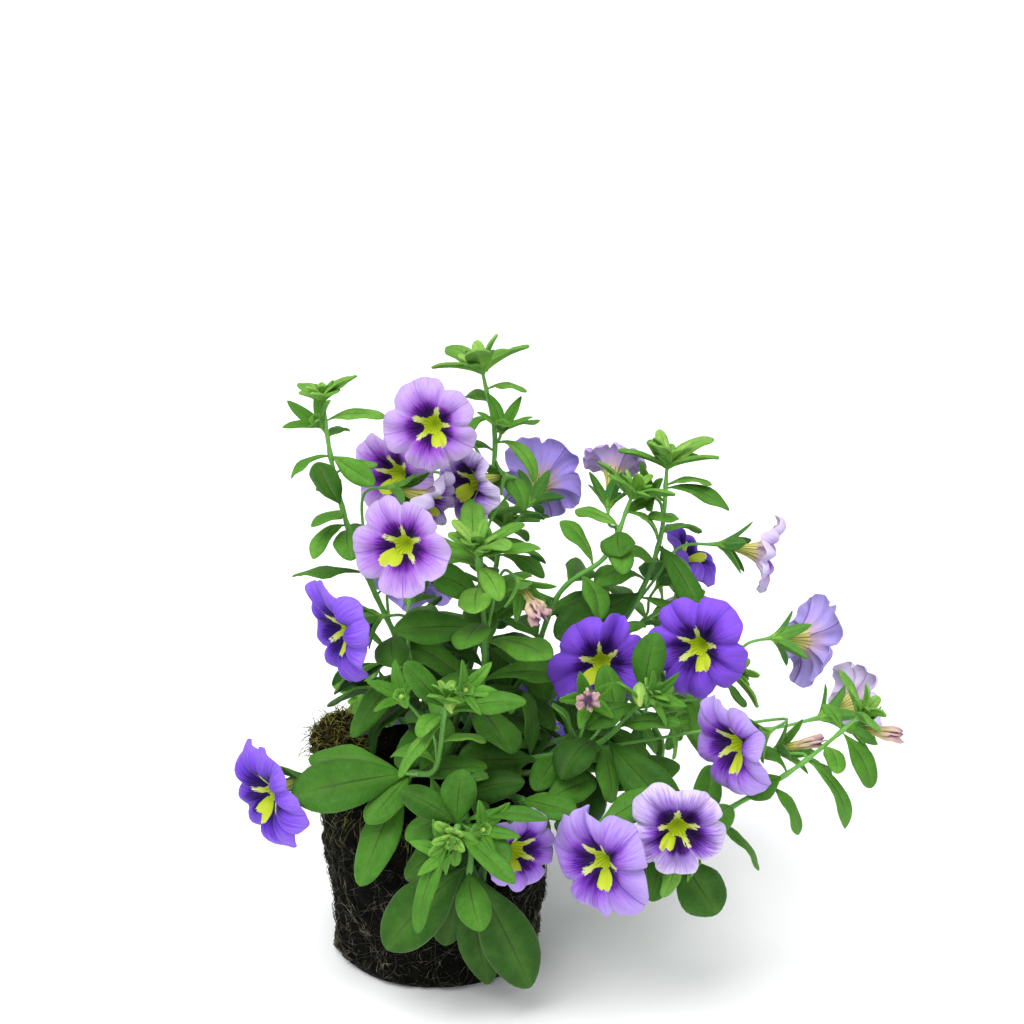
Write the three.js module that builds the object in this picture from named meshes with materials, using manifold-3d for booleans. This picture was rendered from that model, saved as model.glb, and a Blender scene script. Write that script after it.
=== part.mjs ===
// A young calibrachoa lifted out of its pot, standing on its root ball. Millimetres, +Z up.
// The origin is the centre of the root ball's flat underside; most flowers look towards -Y.
// Every leafy stem (with its leaves, flower stalks, calyces and buds) is one solid, and every
// corolla is another, seated in its calyx. Leaves that would touch a neighbour are turned,
// drooped or shortened until they are clear of it.
import * as THREE from "three";
import { mergeVertices } from "three/addons/utils/BufferGeometryUtils.js";
import Module from "manifold-3d";

const wasm = await Module();
wasm.setup();

// ---------------------------------------------------------------- driving dimensions, mm
const BALL = { height: 82, topR: 48, bottomR: 42, footR: 38.5, sides: 26 };
const HOLE = { radius: 2.4, depth: 13, sides: 6 };
const STEM = { footR: 1.7, tipR: 1, sides: 5, rise: 3, standoff: 0.4 };
const STALK = { radius: 0.7, sides: 3, steps: 4 };
const CALYX = { length: 17, width: 5.2, lift: 58, bend: 26, floor: 0, pole: -1, cupR: 2.6, cupZ: 3 };
const CROWN = { slim: 0.36, bend: 34, floor: 0.9, pole: -0.6, cupR: 1.5, cupZ: 0.6 };
const CROWN_TIERS = [
  { leaves: 5, lift: 36, size: 1, rise: 0 },
  { leaves: 3, lift: 66, size: 0.58, rise: 1.2 },
];
const MOSS = { at: [-40, 13], long: 17, wide: 11, height: 14, gap: 0.3, sides: 14 };
const TUBE = { length: 21, seat: 0.9, footR: 0.5, waistR: 2.1, throatR: 4.5, mouthR: 3.5, depth: 9 };
const LOBES = 5;
const LEAF = { thickness: 1.1, slim: 0.48, fold: 12, lean: 24, bend: 54, spiral: 137.5, from: 0.08 };
const CLEAR = { factor: 0.62, own: 0.3, floor: 3, ball: 1.8 };

// ---------------------------------------------------------------- the plant's habit
// foot: where the stem leaves the soil. route: the points it grows through, the last one its tip.
// leaves: how many, the lowest leaf's length, the highest one's, the first one's bearing.
// crown: length of the leaves round the tip.
const STEMS = [
  { name: "centre_tall", foot: [11, 14],
    route: [[20, 22, 118], [18, 32, 160], [24, 44, 203], [19, 50, 233]],
    leaves: [18, 40, 17, 20], crown: 17 },
  { name: "centre", foot: [7, 0], route: [[17, -4, 112], [20, -8, 140], [17, -12, 178]],
    leaves: [13, 42, 26, 200], crown: 17 },
  { name: "left_tall", foot: [-5, 8],
    route: [[-5, 5, 112], [-17, 1, 140], [-32, 0, 177], [-40, 5, 207], [-44, 10, 234]],
    leaves: [18, 38, 15, 80], crown: 14 },
  { name: "right_tall", foot: [21, 12],
    route: [[51, 22, 106], [78, 30, 135], [91, 38, 164], [94, 45, 194]],
    leaves: [17, 42, 20, 150], crown: 17 },
  { name: "right_arch", foot: [17, 22],
    route: [[37, 26, 112], [50, 21, 148], [69, 20, 165], [79, 25, 188]],
    leaves: [14, 40, 18, 300], crown: 15 },
  { name: "left_low", foot: [-11, -28], route: [[-9, -46, 98], [1, -54, 104], [5, -52, 131]],
    leaves: [8, 32, 18, 60], crown: 16 },
  { name: "front", foot: [5, -18], route: [[10, -46, 96], [12, -66, 92], [9, -84, 90]],
    leaves: [8, 36, 22, 40], crown: 15 },
  { name: "front_low", foot: [10, -36], route: [[13, -56, 84], [15, -68, 76], [14, -73, 66]],
    leaves: [6, 34, 26, 100], crown: 0 },
  { name: "right_shoot", foot: [23, -8], route: [[43, -16, 92], [65, -26, 102], [84, -36, 127]],
    leaves: [11, 38, 20, 110], crown: 15 },
  { name: "right_trail", foot: [31, -16],
    route: [[57, -20, 85], [95, -53, 76], [120, -62, 93], [143, -62, 109], [165, -62, 129]],
    leaves: [15, 36, 16, 10], crown: 12 },
  { name: "right_mid", foot: [32, 4], route: [[55, 6, 92], [87, 8, 106], [119, 10, 118]],
    leaves: [14, 38, 22, 250], crown: 14 },
  { name: "back_mid", foot: [7, 28], route: [[15, 46, 112], [23, 56, 140], [27, 60, 163]],
    leaves: [15, 40, 20, 0], crown: 15 },
  { name: "back_right", foot: [25, 28], route: [[53, 44, 104], [81, 62, 116], [101, 78, 124]],
    leaves: [15, 40, 20, 90], crown: 15 },
  { name: "back_left", foot: [-10, 24], route: [[-16, 50, 104], [-24, 74, 96], [-31, 92, 74]],
    leaves: [15, 40, 18, 220], crown: 14 },
  { name: "back_low_right", foot: [35, 20], route: [[61, 56, 88], [85, 78, 72], [103, 92, 62]],
    leaves: [15, 38, 18, 330], crown: 14 },
  { name: "back_low", foot: [-3, 37], route: [[5, 66, 88], [13, 90, 70], [23, 104, 56]],
    leaves: [15, 38, 18, 130], crown: 14 },
  { name: "front_right", foot: [17, -26], route: [[41, -50, 86], [69, -62, 80], [99, -66, 72]],
    leaves: [11, 34, 20, 20], crown: 12 },
];

// mouth: centre of the open flower. faces: bearing (0 towards -Y, 90 towards +X) and lift.
// from: where along its stem the stalk leaves. kind: flower, spent (withered), calyx (dropped) or bud.
const BLOOMS = [
  { stem: "centre_tall", from: 0.62, mouth: [-1, -4, 228], faces: [-10, 12], across: 38, roll: 8 },
  { stem: "left_tall", from: 0.42, mouth: [-12, -34, 189], faces: [-12, 12], across: 40, roll: 20 },
  { stem: "left_tall", from: 0.24, mouth: [-39, -22, 148], faces: [-60, -8], across: 44, roll: 0 },
  { stem: "left_low", from: 0.45, mouth: [-67, -50, 90], faces: [-54, -8], across: 48, roll: 30 },
  { stem: "back_mid", from: 0.8, mouth: [44, 75, 178], faces: [163, 10], across: 38, roll: 12 },
  { stem: "centre_tall", from: 0.56, mouth: [-18, 44, 191], faces: [-34, 12], across: 38, roll: 40 },
  { stem: "left_tall", from: 0.48, mouth: [1, 8, 192], faces: [66, -10], across: 28, roll: 0 },
  { stem: "centre_tall", from: 0.5, mouth: [13, 16, 197], faces: [-48, 4], across: 34, roll: 20 },
  { stem: "right_arch", from: 0.8, mouth: [73, 58, 192], faces: [168, 48], across: 28, roll: 10 },
  { stem: "right_shoot", from: 0.55, mouth: [66, -12, 131], faces: [-8, 18], across: 41, roll: 26 },
  { stem: "right_mid", from: 0.72, mouth: [103, -26, 143], faces: [-24, 10], across: 42, roll: 14 },
  { stem: "right_shoot", from: 0.35, mouth: [114, -75, 122], faces: [-52, -2], across: 44, roll: 4 },
  { stem: "front_right", from: 0.8, mouth: [95, -85, 91], faces: [4, 4], across: 40, roll: 18 },
  { stem: "front_right", from: 0.5, mouth: [63, -96, 82], faces: [-37, -4], across: 48, roll: 0 },
  { stem: "front_low", from: 0.5, mouth: [35, -72, 76], faces: [38, 8], across: 34, roll: 30 },
  { stem: "right_mid", from: 0.86, mouth: [153, 20, 128], faces: [122, -15], across: 38, roll: 24 },
  { stem: "right_mid", from: 0.6, mouth: [170, -12, 116], faces: [125, 10], across: 33, roll: 0 },
  { stem: "back_right", from: 0.7, mouth: [105, 62, 151], faces: [80, 50], across: 34, roll: 15 },
  { stem: "right_tall", from: 0.5, mouth: [136, 42, 157], faces: [78, -8], across: 34, roll: 36 },
  { stem: "back_left", from: 0.82, mouth: [-23, 104, 46], faces: [200, 4], across: 38, roll: 12 },
  { stem: "back_left", from: 0.36, mouth: [-11, 108, 124], faces: [176, 16], across: 38, roll: 30 },
  { stem: "back_low", from: 0.7, mouth: [43, 120, 52], faces: [166, 4], across: 39, roll: 2 },
  { stem: "back_low_right", from: 0.66, mouth: [103, 112, 74], faces: [146, 8], across: 38, roll: 22 },
  { stem: "back_right", from: 0.86, mouth: [111, 94, 101], faces: [138, 6], across: 38, roll: 6 },
  { stem: "centre", from: 0.6, mouth: [42, -38, 160], faces: [28, -30], kind: "spent" },
  { stem: "right_shoot", from: 0.42, mouth: [61, -52, 132], faces: [0, 24], kind: "spent" },
  { stem: "right_trail", from: 0.82, mouth: [151, -58, 118], faces: [66, 24], kind: "spent" },
  { stem: "right_trail", from: 0.96, mouth: [182, -60, 120], faces: [84, -8], kind: "spent" },
  { stem: "left_low", from: 0.7, mouth: [-19, -54, 142], faces: [-30, 44], kind: "calyx" },
  { stem: "left_low", from: 0.95, mouth: [23, -66, 146], faces: [40, 30], kind: "calyx" },
  { stem: "centre_tall", from: 0.74, mouth: [29, 34, 230], faces: [20, 70], kind: "calyx" },
  { stem: "left_tall", from: 0.8, mouth: [-55, 0, 240], faces: [-50, 50], kind: "calyx" },
  { stem: "right_tall", from: 0.78, mouth: [77, 24, 194], faces: [-40, 30], kind: "calyx" },
  { stem: "front", from: 0.9, mouth: [-5, -98, 90], faces: [-40, 24], kind: "calyx" },
  { stem: "front", from: 0.82, mouth: [29, -96, 100], faces: [36, 30], kind: "calyx" },
  { stem: "right_shoot", from: 0.93, mouth: [97, -52, 134], faces: [44, 20], kind: "calyx" },
  { stem: "left_low", from: 0.86, mouth: [9, -64, 120], faces: [10, -40], kind: "bud" },
  { stem: "front", from: 0.95, mouth: [3, -98, 82], faces: [-20, -10], kind: "bud" },
  { stem: "right_shoot", from: 0.9, mouth: [81, -50, 116], faces: [0, -50], kind: "bud" },
];

// Leaves that set the plant's face: where each leaves its stem, where its tip lies, the way its
// upper side looks (bearing and lift, as above), its width and how far it bends over.
const SHOW_LEAVES = [
  { stem: "left_low", from: 0.38, tip: [-53, -62, 96], looks: [-4, 50], width: 21, bend: 26 },
  { stem: "left_low", from: 0.24, tip: [-48, -32, 98], looks: [-10, 60], width: 14, bend: 46 },
  { stem: "left_low", from: 0.97, tip: [-10, -58, 149], looks: [-10, 50], width: 11, bend: 30 },
  { stem: "left_low", from: 0.95, tip: [35, -60, 134], looks: [14, 70], width: 10, bend: 46 },
  { stem: "left_low", from: 0.9, tip: [-12, -68, 107], looks: [-50, 26], width: 9, bend: 60 },
  { stem: "left_low", from: 0.24, tip: [-28, -64, 60], looks: [-26, 14], width: 15, bend: 70 },
  { stem: "front_low", from: 0.9, tip: [37, -68, 18], looks: [14, 12], width: 20, bend: 26 },
  { stem: "front_low", from: 0.84, tip: [-17, -72, 36], looks: [-14, 16], width: 21, bend: 34 },
  { stem: "front_low", from: 0.7, tip: [21, -57, 14], looks: [6, 4], width: 15, bend: 10 },
  { stem: "front_low", from: 0.66, tip: [5, -60, 32], looks: [0, 4], width: 17, bend: 16 },
  { stem: "front", from: 0.92, tip: [12, -76, 112], looks: [0, 12], width: 14, bend: 24 },
  { stem: "front", from: 0.9, tip: [-11, -82, 106], looks: [-20, 50], width: 11, bend: 40 },
  { stem: "front", from: 0.86, tip: [43, -88, 97], looks: [10, 70], width: 8, bend: 40 },
  { stem: "front", from: 0.98, tip: [-5, -94, 54], looks: [-40, 20], width: 9, bend: 40 },
  { stem: "front", from: 0.98, tip: [31, -102, 78], looks: [-10, 50], width: 9, bend: 40 },
  { stem: "right_shoot", from: 0.72, tip: [97, -52, 81], looks: [-14, 30], width: 18, bend: 50 },
  { stem: "right_shoot", from: 0.5, tip: [59, -32, 68], looks: [-10, 20], width: 21, bend: 30 },
  { stem: "right_shoot", from: 0.66, tip: [51, -46, 96], looks: [-20, 60], width: 17, bend: 110 },
  { stem: "right_shoot", from: 0.3, tip: [11, -32, 98], looks: [0, 40], width: 16, bend: 24 },
  { stem: "right_shoot", from: 0.22, tip: [19, -46, 86], looks: [-20, 50], width: 15, bend: 40 },
  { stem: "right_shoot", from: 0.98, tip: [87, -32, 151], looks: [0, 20], width: 13, bend: 30 },
  { stem: "right_shoot", from: 0.94, tip: [61, -42, 116], looks: [-10, 60], width: 13, bend: 50 },
  { stem: "right_shoot", from: 0.8, tip: [96, -44, 118], looks: [0, 70], width: 11, bend: 40 },
  { stem: "front_right", from: 0.24, tip: [55, -60, 88], looks: [-10, 50], width: 13, bend: 40 },
  { stem: "front_right", from: 0.97, tip: [111, -66, 48], looks: [8, 16], width: 19, bend: 24 },
  { stem: "centre", from: 0.98, tip: [-4, -26, 188], looks: [-20, 64], width: 9, bend: 30 },
  { stem: "centre", from: 0.98, tip: [41, -22, 183], looks: [20, 66], width: 9, bend: 34 },
  { stem: "centre", from: 0.94, tip: [26, -32, 166], looks: [10, 40], width: 9, bend: 60 },
  { stem: "centre", from: 0.82, tip: [0, -20, 172], looks: [-20, 40], width: 13, bend: 20 },
  { stem: "centre", from: 0.7, tip: [-14, -28, 151], looks: [-6, 46], width: 17, bend: 34 },
  { stem: "right_tall", from: 0.58, tip: [50, 10, 134], looks: [-12, 48], width: 19, bend: 24 },
  { stem: "right_tall", from: 0.74, tip: [106, 20, 141], looks: [30, 34], width: 12, bend: 70 },
  { stem: "right_tall", from: 0.93, tip: [118, 38, 178], looks: [30, 60], width: 10, bend: 56 },
  { stem: "right_arch", from: 0.86, tip: [74, 6, 170], looks: [-10, 30], width: 14, bend: 40 },
  { stem: "left_tall", from: 0.84, tip: [-24, -6, 205], looks: [-10, 40], width: 9, bend: 30 },
  { stem: "left_tall", from: 0.7, tip: [-45, -6, 213], looks: [-20, 10], width: 12, bend: 20 },
  { stem: "left_tall", from: 0.94, tip: [-20, 4, 229], looks: [10, 66], width: 7, bend: 50 },
  { stem: "left_tall", from: 0.65, tip: [-47, -12, 176], looks: [-40, 40], width: 8, bend: 90 },
  { stem: "left_tall", from: 0.3, tip: [-32, -16, 102], looks: [-26, 20], width: 12, bend: 50 },
  { stem: "centre_tall", from: 0.76, tip: [39, 34, 192], looks: [40, 50], width: 7, bend: 130 },
  { stem: "right_trail", from: 0.74, tip: [123, -70, 99], looks: [-30, 40], width: 12, bend: 40 },
  { stem: "right_trail", from: 0.82, tip: [160, -66, 85], looks: [50, 30], width: 9, bend: 90 },
  { stem: "right_trail", from: 0.94, tip: [170, -64, 101], looks: [30, 10], width: 10, bend: 40 },
];

// ---------------------------------------------------------------- small helpers
const radians = (degrees) => (degrees * Math.PI) / 180;
const vec = (p) => new THREE.Vector3(p[0], p[1], p[2]);
const UP = vec([0, 0, 1]);
const mix = (...terms) => {
  const sum = new THREE.Vector3();
  for (const [v, k] of terms) sum.addScaledVector(v, k);
  return sum;
};
const looking = ([bearing, lift]) => {
  const b = radians(bearing);
  const l = radians(lift);
  return vec([Math.sin(b) * Math.cos(l), -Math.cos(b) * Math.cos(l), Math.sin(l)]);
};
const lerp = (a, b, t) => a + (b - a) * t;
// a spread of fractions from -0.5 to 0.5 that never repeats: the golden-ratio sequence
const spread = (n, shift) => ((n * 0.6180339887 + shift * 0.7548776662) % 1) - 0.5;

// A point of the smooth (Catmull-Rom) curve through a list of points, t from 0 to 1.
function along(points, t) {
  const last = points.length - 1;
  const i = Math.min(last - 1, Math.floor(t * last));
  const u = t * last - i;
  const b = points[i];
  const c = points[i + 1];
  const a = i > 0 ? points[i - 1] : mix([b, 2], [c, -1]);
  const d = i < last - 1 ? points[i + 2] : mix([c, 2], [b, -1]);
  const u2 = u * u;
  const u3 = u2 * u;
  return mix(
    [a, (-u3 + 2 * u2 - u) / 2],
    [b, (3 * u3 - 5 * u2 + 2) / 2],
    [c, (-3 * u3 + 4 * u2 + u) / 2],
    [d, (u3 - u2) / 2],
  );
}

function heading(points, t) {
  const step = 0.01;
  const a = along(points, Math.max(0, t - step));
  const b = along(points, Math.min(1, t + step));
  return b.sub(a).normalize();
}

// Unit vectors square to an axis, the second one as near to "up" as it can be.
function across(axis) {
  const guide = Math.abs(axis.z) > 0.95 ? vec([0, 1, 0]) : UP;
  const side = new THREE.Vector3().crossVectors(axis, guide).normalize();
  return [side, new THREE.Vector3().crossVectors(side, axis)];
}

// ---------------------------------------------------------------- solids
// One closed skin through rings of points that run counterclockwise about the way they are stacked.
// A ring of one point is a pole, and a ring may have twice or half its neighbour's points.
// Quads split alike on both faces of a blade, so that a twisted blade's faces never cross.
function skin(rings) {
  const points = [];
  const faces = [];
  const starts = rings.map((ring) => points.push(...ring) - ring.length);
  for (let k = 0; k + 1 < rings.length; k += 1) {
    const n = rings[k].length;
    const m = rings[k + 1].length;
    const a = (j) => starts[k] + (j % n);
    const b = (j) => starts[k + 1] + (j % m);
    for (let j = 0; j < Math.min(n, m) || j < Math.max(n, m) / 2; j += 1) {
      if (n === m && j % 2 === 0) faces.push([a(j), a(j + 1), b(j + 1)], [a(j), b(j + 1), b(j)]);
      else if (n === m) faces.push([a(j), a(j + 1), b(j)], [a(j + 1), b(j + 1), b(j)]);
      else if (n === 1 || m === 1) break;
      else if (m === 2 * n) {
        faces.push([a(j), b(2 * j + 1), b(2 * j)]);
        faces.push([a(j), a(j + 1), b(2 * j + 1)]);
        faces.push([a(j + 1), b(2 * j + 2), b(2 * j + 1)]);
      } else {
        faces.push([a(2 * j), a(2 * j + 1), b(j)]);
        faces.push([a(2 * j + 1), b(j + 1), b(j)]);
        faces.push([a(2 * j + 1), a(2 * j + 2), b(j + 1)]);
      }
    }
    if (n === 1) for (let j = 0; j < m; j += 1) faces.push([a(0), b(j + 1), b(j)]);
    if (m === 1) for (let j = 0; j < n; j += 1) faces.push([a(j), a(j + 1), b(0)]);
  }
  const end = starts.at(-1);
  for (let j = 1; j + 1 < rings[0].length; j += 1) faces.push([0, j + 1, j]);
  for (let j = 1; j + 1 < rings.at(-1).length; j += 1) faces.push([end, end + j, end + j + 1]);
  return closed(points, faces);
}

// A manifold solid from points and triangles, with doubled points merged.
function closed(points, faces) {
  const geometry = new THREE.BufferGeometry();
  const flat = points.flatMap((p) => [p.x, p.y, p.z]);
  geometry.setAttribute("position", new THREE.Float32BufferAttribute(flat, 3));
  geometry.setIndex(faces.flat());
  const merged = mergeVertices(geometry, 1e-4);
  return new wasm.Manifold(
    new wasm.Mesh({
      numProp: 3,
      vertProperties: merged.attributes.position.array,
      triVerts: new Uint32Array(merged.index.array),
    }),
  );
}

function ringAt(centre, axis, radius, sides, start = across(axis)[0]) {
  const side = mix([start, 1], [axis, -start.dot(axis)]).normalize();
  const turn = new THREE.Vector3().crossVectors(axis, side);
  return Array.from({ length: sides }, (_, j) => {
    const a = (2 * Math.PI * j) / sides;
    return mix([centre, 1], [side, radius * Math.cos(a)], [turn, radius * Math.sin(a)]);
  });
}

// Rings along a curve, each turned as little as can be from the one before.
function hoops(points, radiusAt, sides, steps) {
  const rings = [];
  let side = across(heading(points, 0))[0];
  for (let k = 0; k <= steps; k += 1) {
    const axis = heading(points, k / steps);
    side = mix([side, 1], [axis, -side.dot(axis)]).normalize();
    rings.push(ringAt(along(points, k / steps), axis, radiusAt(k / steps), sides, side));
  }
  return rings;
}

const tube = (points, radiusAt, sides, steps) => skin(hoops(points, radiusAt, sides, steps));

// ---------------------------------------------------------------- leaf
// A blade's width along its length, as a share of its full width: a slim foot, a round tip.
const bladeWidth = (s) => Math.pow(Math.sin(Math.PI * Math.pow(s, 1.25)), 0.8);

// The frame of a blade at s along its midrib, which bends away from its upper side in one arc.
function bladeAt(leaf, s) {
  const a = radians(leaf.bend) * s;
  const whole = radians(leaf.bend);
  const reach = (leaf.length * Math.sin(a)) / whole;
  const drop = (leaf.length * (1 - Math.cos(a))) / whole;
  return {
    mid: mix([leaf.base, 1], [leaf.ahead, reach], [leaf.upper, -drop]),
    upper: mix([leaf.upper, Math.cos(a)], [leaf.ahead, Math.sin(a)]),
  };
}

function bladePoint(leaf, s, share) {
  const { mid, upper } = bladeAt(leaf, s);
  const half = (leaf.width / 2) * bladeWidth(s) * share;
  const fold = radians(LEAF.fold);
  return mix([mid, 1], [leaf.right, half * Math.cos(fold)], [upper, Math.abs(half) * Math.sin(fold)]);
}

// Its section has the edges, a keel and, unless it is plain, a groove line on the upper side.
function bladeSolid(leaf, stations, plain = false) {
  const rings = [[leaf.base.clone()]];
  for (const s of stations) {
    const { mid, upper } = bladeAt(leaf, s);
    const half = (LEAF.thickness / 2) * Math.min(1, 0.6 + leaf.length / 60);
    const ring = [bladePoint(leaf, s, 1), mix([mid, 1], [upper, -half]), bladePoint(leaf, s, -1)];
    if (!plain) ring.push(mix([mid, 1], [upper, half]));
    rings.push(ring);
  }
  rings.push([bladeAt(leaf, 1).mid]);
  return skin(rings);
}

const bladeSamples = (leaf) => {
  const points = [];
  for (let i = 1; i <= 9; i += 1)
    for (let j = -2; j <= 2; j += 1) points.push(bladePoint(leaf, i / 9.5, j / 2));
  return points;
};
const sampleRadius = (leaf) => 0.5 * Math.hypot(leaf.length / 9.5, leaf.width / 4);

// ahead: the way the leaf sets out. guide: what its upper side turns to.
function leafFrom(base, ahead, guide, length, width, bend) {
  const right = new THREE.Vector3().crossVectors(ahead, guide).normalize();
  const upper = new THREE.Vector3().crossVectors(right, ahead);
  return { base, ahead, upper, right, length, width, bend };
}

// A leaf whose tip reaches a given point: the chord is known, and the arc follows from the bend.
function leafTo(base, tip, guide, width, bend) {
  const chord = tip.clone().sub(base);
  const half = radians(bend) / 2;
  const length = (chord.length() * half) / Math.sin(half);
  chord.normalize();
  const right = new THREE.Vector3().crossVectors(chord, guide).normalize();
  const normal = new THREE.Vector3().crossVectors(right, chord);
  const ahead = mix([chord, Math.cos(half)], [normal, Math.sin(half)]);
  const upper = mix([normal, Math.cos(half)], [chord, -Math.sin(half)]);
  return leafFrom(base, ahead, upper, length, width, bend);
}

// ---------------------------------------------------------------- flower
// What every flower stands on: the calyx's foot, its axis, and the stalk that comes from the stem.
function seatOf(bloom, stem) {
  const axis = looking(bloom.faces);
  const foot = mix([vec(bloom.mouth), 1], [axis, -TUBE.length]);
  const start = along(stem.points, bloom.from);
  const gap = foot.distanceTo(start);
  const rise = mix([start, 1], [heading(stem.points, bloom.from), 0.3 * gap], [axis, 0.05 * gap]);
  const bend = mix([foot, 1], [axis, -0.35 * gap]);
  const early = mix([rise, 0.6], [bend, 0.25], [start, 0.15]);
  const late = mix([rise, 0.2], [bend, 0.65], [foot, 0.15]);
  const stalk = [start, early, late, foot];
  return { axis, foot, stalk };
}

// A star of leaves round an axis, from the lowest bearing up: the frame they all share.
function tongue(centre, axis, bearing, lift, length, width, bend) {
  const [side, up] = across(axis);
  const a = radians(bearing);
  const l = radians(lift);
  const out = mix([side, Math.cos(a)], [up, -Math.sin(a)]);
  const leaf = leafFrom(centre, mix([out, Math.cos(l)], [axis, Math.sin(l)]), axis, length, width, bend);
  return { ...leaf, bearing };
}

// That star as one closed skin: between two leaves it dips to the rim of a small cup.
function starSolid(centre, axis, leaves, shape) {
  const [side, up] = across(axis);
  const points = [mix([centre, 1], [axis, shape.floor]), mix([centre, 1], [axis, shape.pole])];
  const faces = [];
  const half = LEAF.thickness / 2.4;
  leaves.forEach((leaf, i) => {
    const before = i > 0 ? leaves[i - 1].bearing : leaves.at(-1).bearing - 360;
    const a = radians((before + leaf.bearing) / 2);
    const out = mix([side, Math.cos(a)], [up, -Math.sin(a)]);
    const sinus = mix([centre, 1], [out, shape.cupR], [axis, shape.cupZ]);
    const { mid, upper } = bladeAt(leaf, 0.55);
    const first = points.length;
    const next = i + 1 < leaves.length ? first + 6 : 2;
    points.push(sinus, bladePoint(leaf, 0.55, 1), bladeAt(leaf, 1).mid, bladePoint(leaf, 0.55, -1));
    points.push(mix([mid, 1], [upper, half]), mix([mid, 1], [upper, -half]));
    const edge = [first, first + 1, first + 2, first + 3, next];
    const inner = [0, ...edge];
    const outer = [1, ...edge];
    for (let k = 0; k < 6; k += 1) {
      faces.push([first + 4, inner[k], inner[(k + 1) % 6]]);
      faces.push([first + 5, outer[(k + 1) % 6], outer[k]]);
    }
  });
  return closed(points, faces);
}

function sepalsOf(seat, roll) {
  const { lift, length, width, bend } = CALYX;
  const bearings = Array.from({ length: LOBES }, (_, i) => roll + (360 / LOBES) * i);
  return bearings.map((bearing) => tongue(seat.foot, seat.axis, bearing, lift, length, width, bend));
}

// A small closed bud standing on its stalk.
function budSolid(seat) {
  const ring = (z, r) => ringAt(mix([seat.foot, 1], [seat.axis, z]), seat.axis, r, 5);
  const pole = (z) => [mix([seat.foot, 1], [seat.axis, z])];
  return skin([pole(-0.6), ring(2.5, 2.7), ring(6, 2.5), pole(9.5)]);
}

// The limb's edge: five round lobes with a shallow notch in each, and a low wave across each lobe.
const LOBE_SHAPE = [
  { turn: -36, reach: 0.78, lift: 1 },
  { turn: -20, reach: 0.97, lift: -0.2 },
  { turn: 0, reach: 1, lift: -1.8 },
  { turn: 20, reach: 0.97, lift: -0.2 },
];

function corollaSolid(bloom, seat) {
  const [side, up] = across(seat.axis);
  const mouth = vec(bloom.mouth);
  const at = (degrees, r, z) => {
    const a = radians(degrees + bloom.roll);
    return mix([mouth, 1], [side, r * Math.cos(a)], [up, -r * Math.sin(a)], [seat.axis, z]);
  };
  const ring = (n, r, z) => Array.from({ length: n }, (_, j) => at((360 * j) / n - 36, r, z));
  const rim = [];
  for (let i = 0; i < LOBES; i += 1)
    for (const p of LOBE_SHAPE)
      rim.push(at(72 * i + p.turn, (bloom.across / 2) * p.reach, p.lift + 1.6 * spread(i, bloom.roll)));
  return skin([
    ring(5, TUBE.footR, TUBE.seat - TUBE.length),
    ring(5, TUBE.waistR, -0.5 * TUBE.length),
    ring(10, TUBE.throatR, -1.8),
    rim,
    ring(10, TUBE.mouthR, -0.5),
    [at(0, 0, -TUBE.depth)],
  ]);
}

// A withered corolla: a limp twist of what was the tube and limb.
function spentSolid(seat) {
  const ring = (z, r) => ringAt(mix([seat.foot, 1], [seat.axis, z]), seat.axis, r, 5);
  const tip = [mix([seat.foot, 1], [seat.axis, 22])];
  return skin([ring(TUBE.seat, TUBE.footR), ring(9, 1.8), ring(14, 1.4), ring(19, 2.8), tip]);
}

// ---------------------------------------------------------------- keeping clear
const placed = []; // what has been put in place: node, sample points, their radius, a bounding sphere

function keep(node, points, radius, role) {
  const centre = new THREE.Vector3();
  for (const p of points) centre.addScaledVector(p, 1 / points.length);
  const reach = Math.max(...points.map((p) => p.distanceTo(centre)));
  placed.push({ node, points, radius, role, centre, reach });
}

const ballRadius = (z) => lerp(BALL.bottomR, BALL.topR, Math.min(1, Math.max(0, z / BALL.height)));

function isClear(node, points, radius) {
  const centre = new THREE.Vector3();
  for (const p of points) centre.addScaledVector(p, 1 / points.length);
  const reach = Math.max(...points.map((p) => p.distanceTo(centre)));
  for (const p of points) {
    if (p.z < CLEAR.floor) return false;
    if (p.z < BALL.height + CLEAR.ball && Math.hypot(p.x, p.y) < ballRadius(p.z) + CLEAR.ball) return false;
  }
  for (const other of placed) {
    const own = other.node === node;
    if (own && other.role === "stem") continue;
    const limit = (own ? CLEAR.own : CLEAR.factor) * (radius + other.radius);
    if (centre.distanceTo(other.centre) > reach + other.reach + limit) continue;
    const touches = (p) => other.points.some((q) => p.distanceToSquared(q) < limit * limit);
    if (points.some(touches)) return false;
  }
  return true;
}

// ---------------------------------------------------------------- growing the plant
// A leaf in its turn round the stem, or the nearest change of turn, droop and size that is clear.
const TRIES = [];
for (const size of [1, 0.82, 0.64])
  for (const turn of [0, 24, -24, 48, -48, 72, -72])
    for (const droop of [0, 22, -22]) TRIES.push({ size, turn, droop });

function stemLeaf(stem, t, bearing, length, width, bend, lean) {
  const base = along(stem.points, t);
  const ahead = heading(stem.points, t);
  const [side, up] = across(ahead);
  const a = radians(bearing);
  const out = mix([side, Math.cos(a)], [up, Math.sin(a)]);
  const l = radians(lean);
  const way = mix([out, Math.cos(l)], [ahead, Math.sin(l)]).normalize();
  const guide = mix([ahead, 0.4], [UP, 0.7]);
  return leafFrom(base, way, guide, length, width, bend);
}

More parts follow.
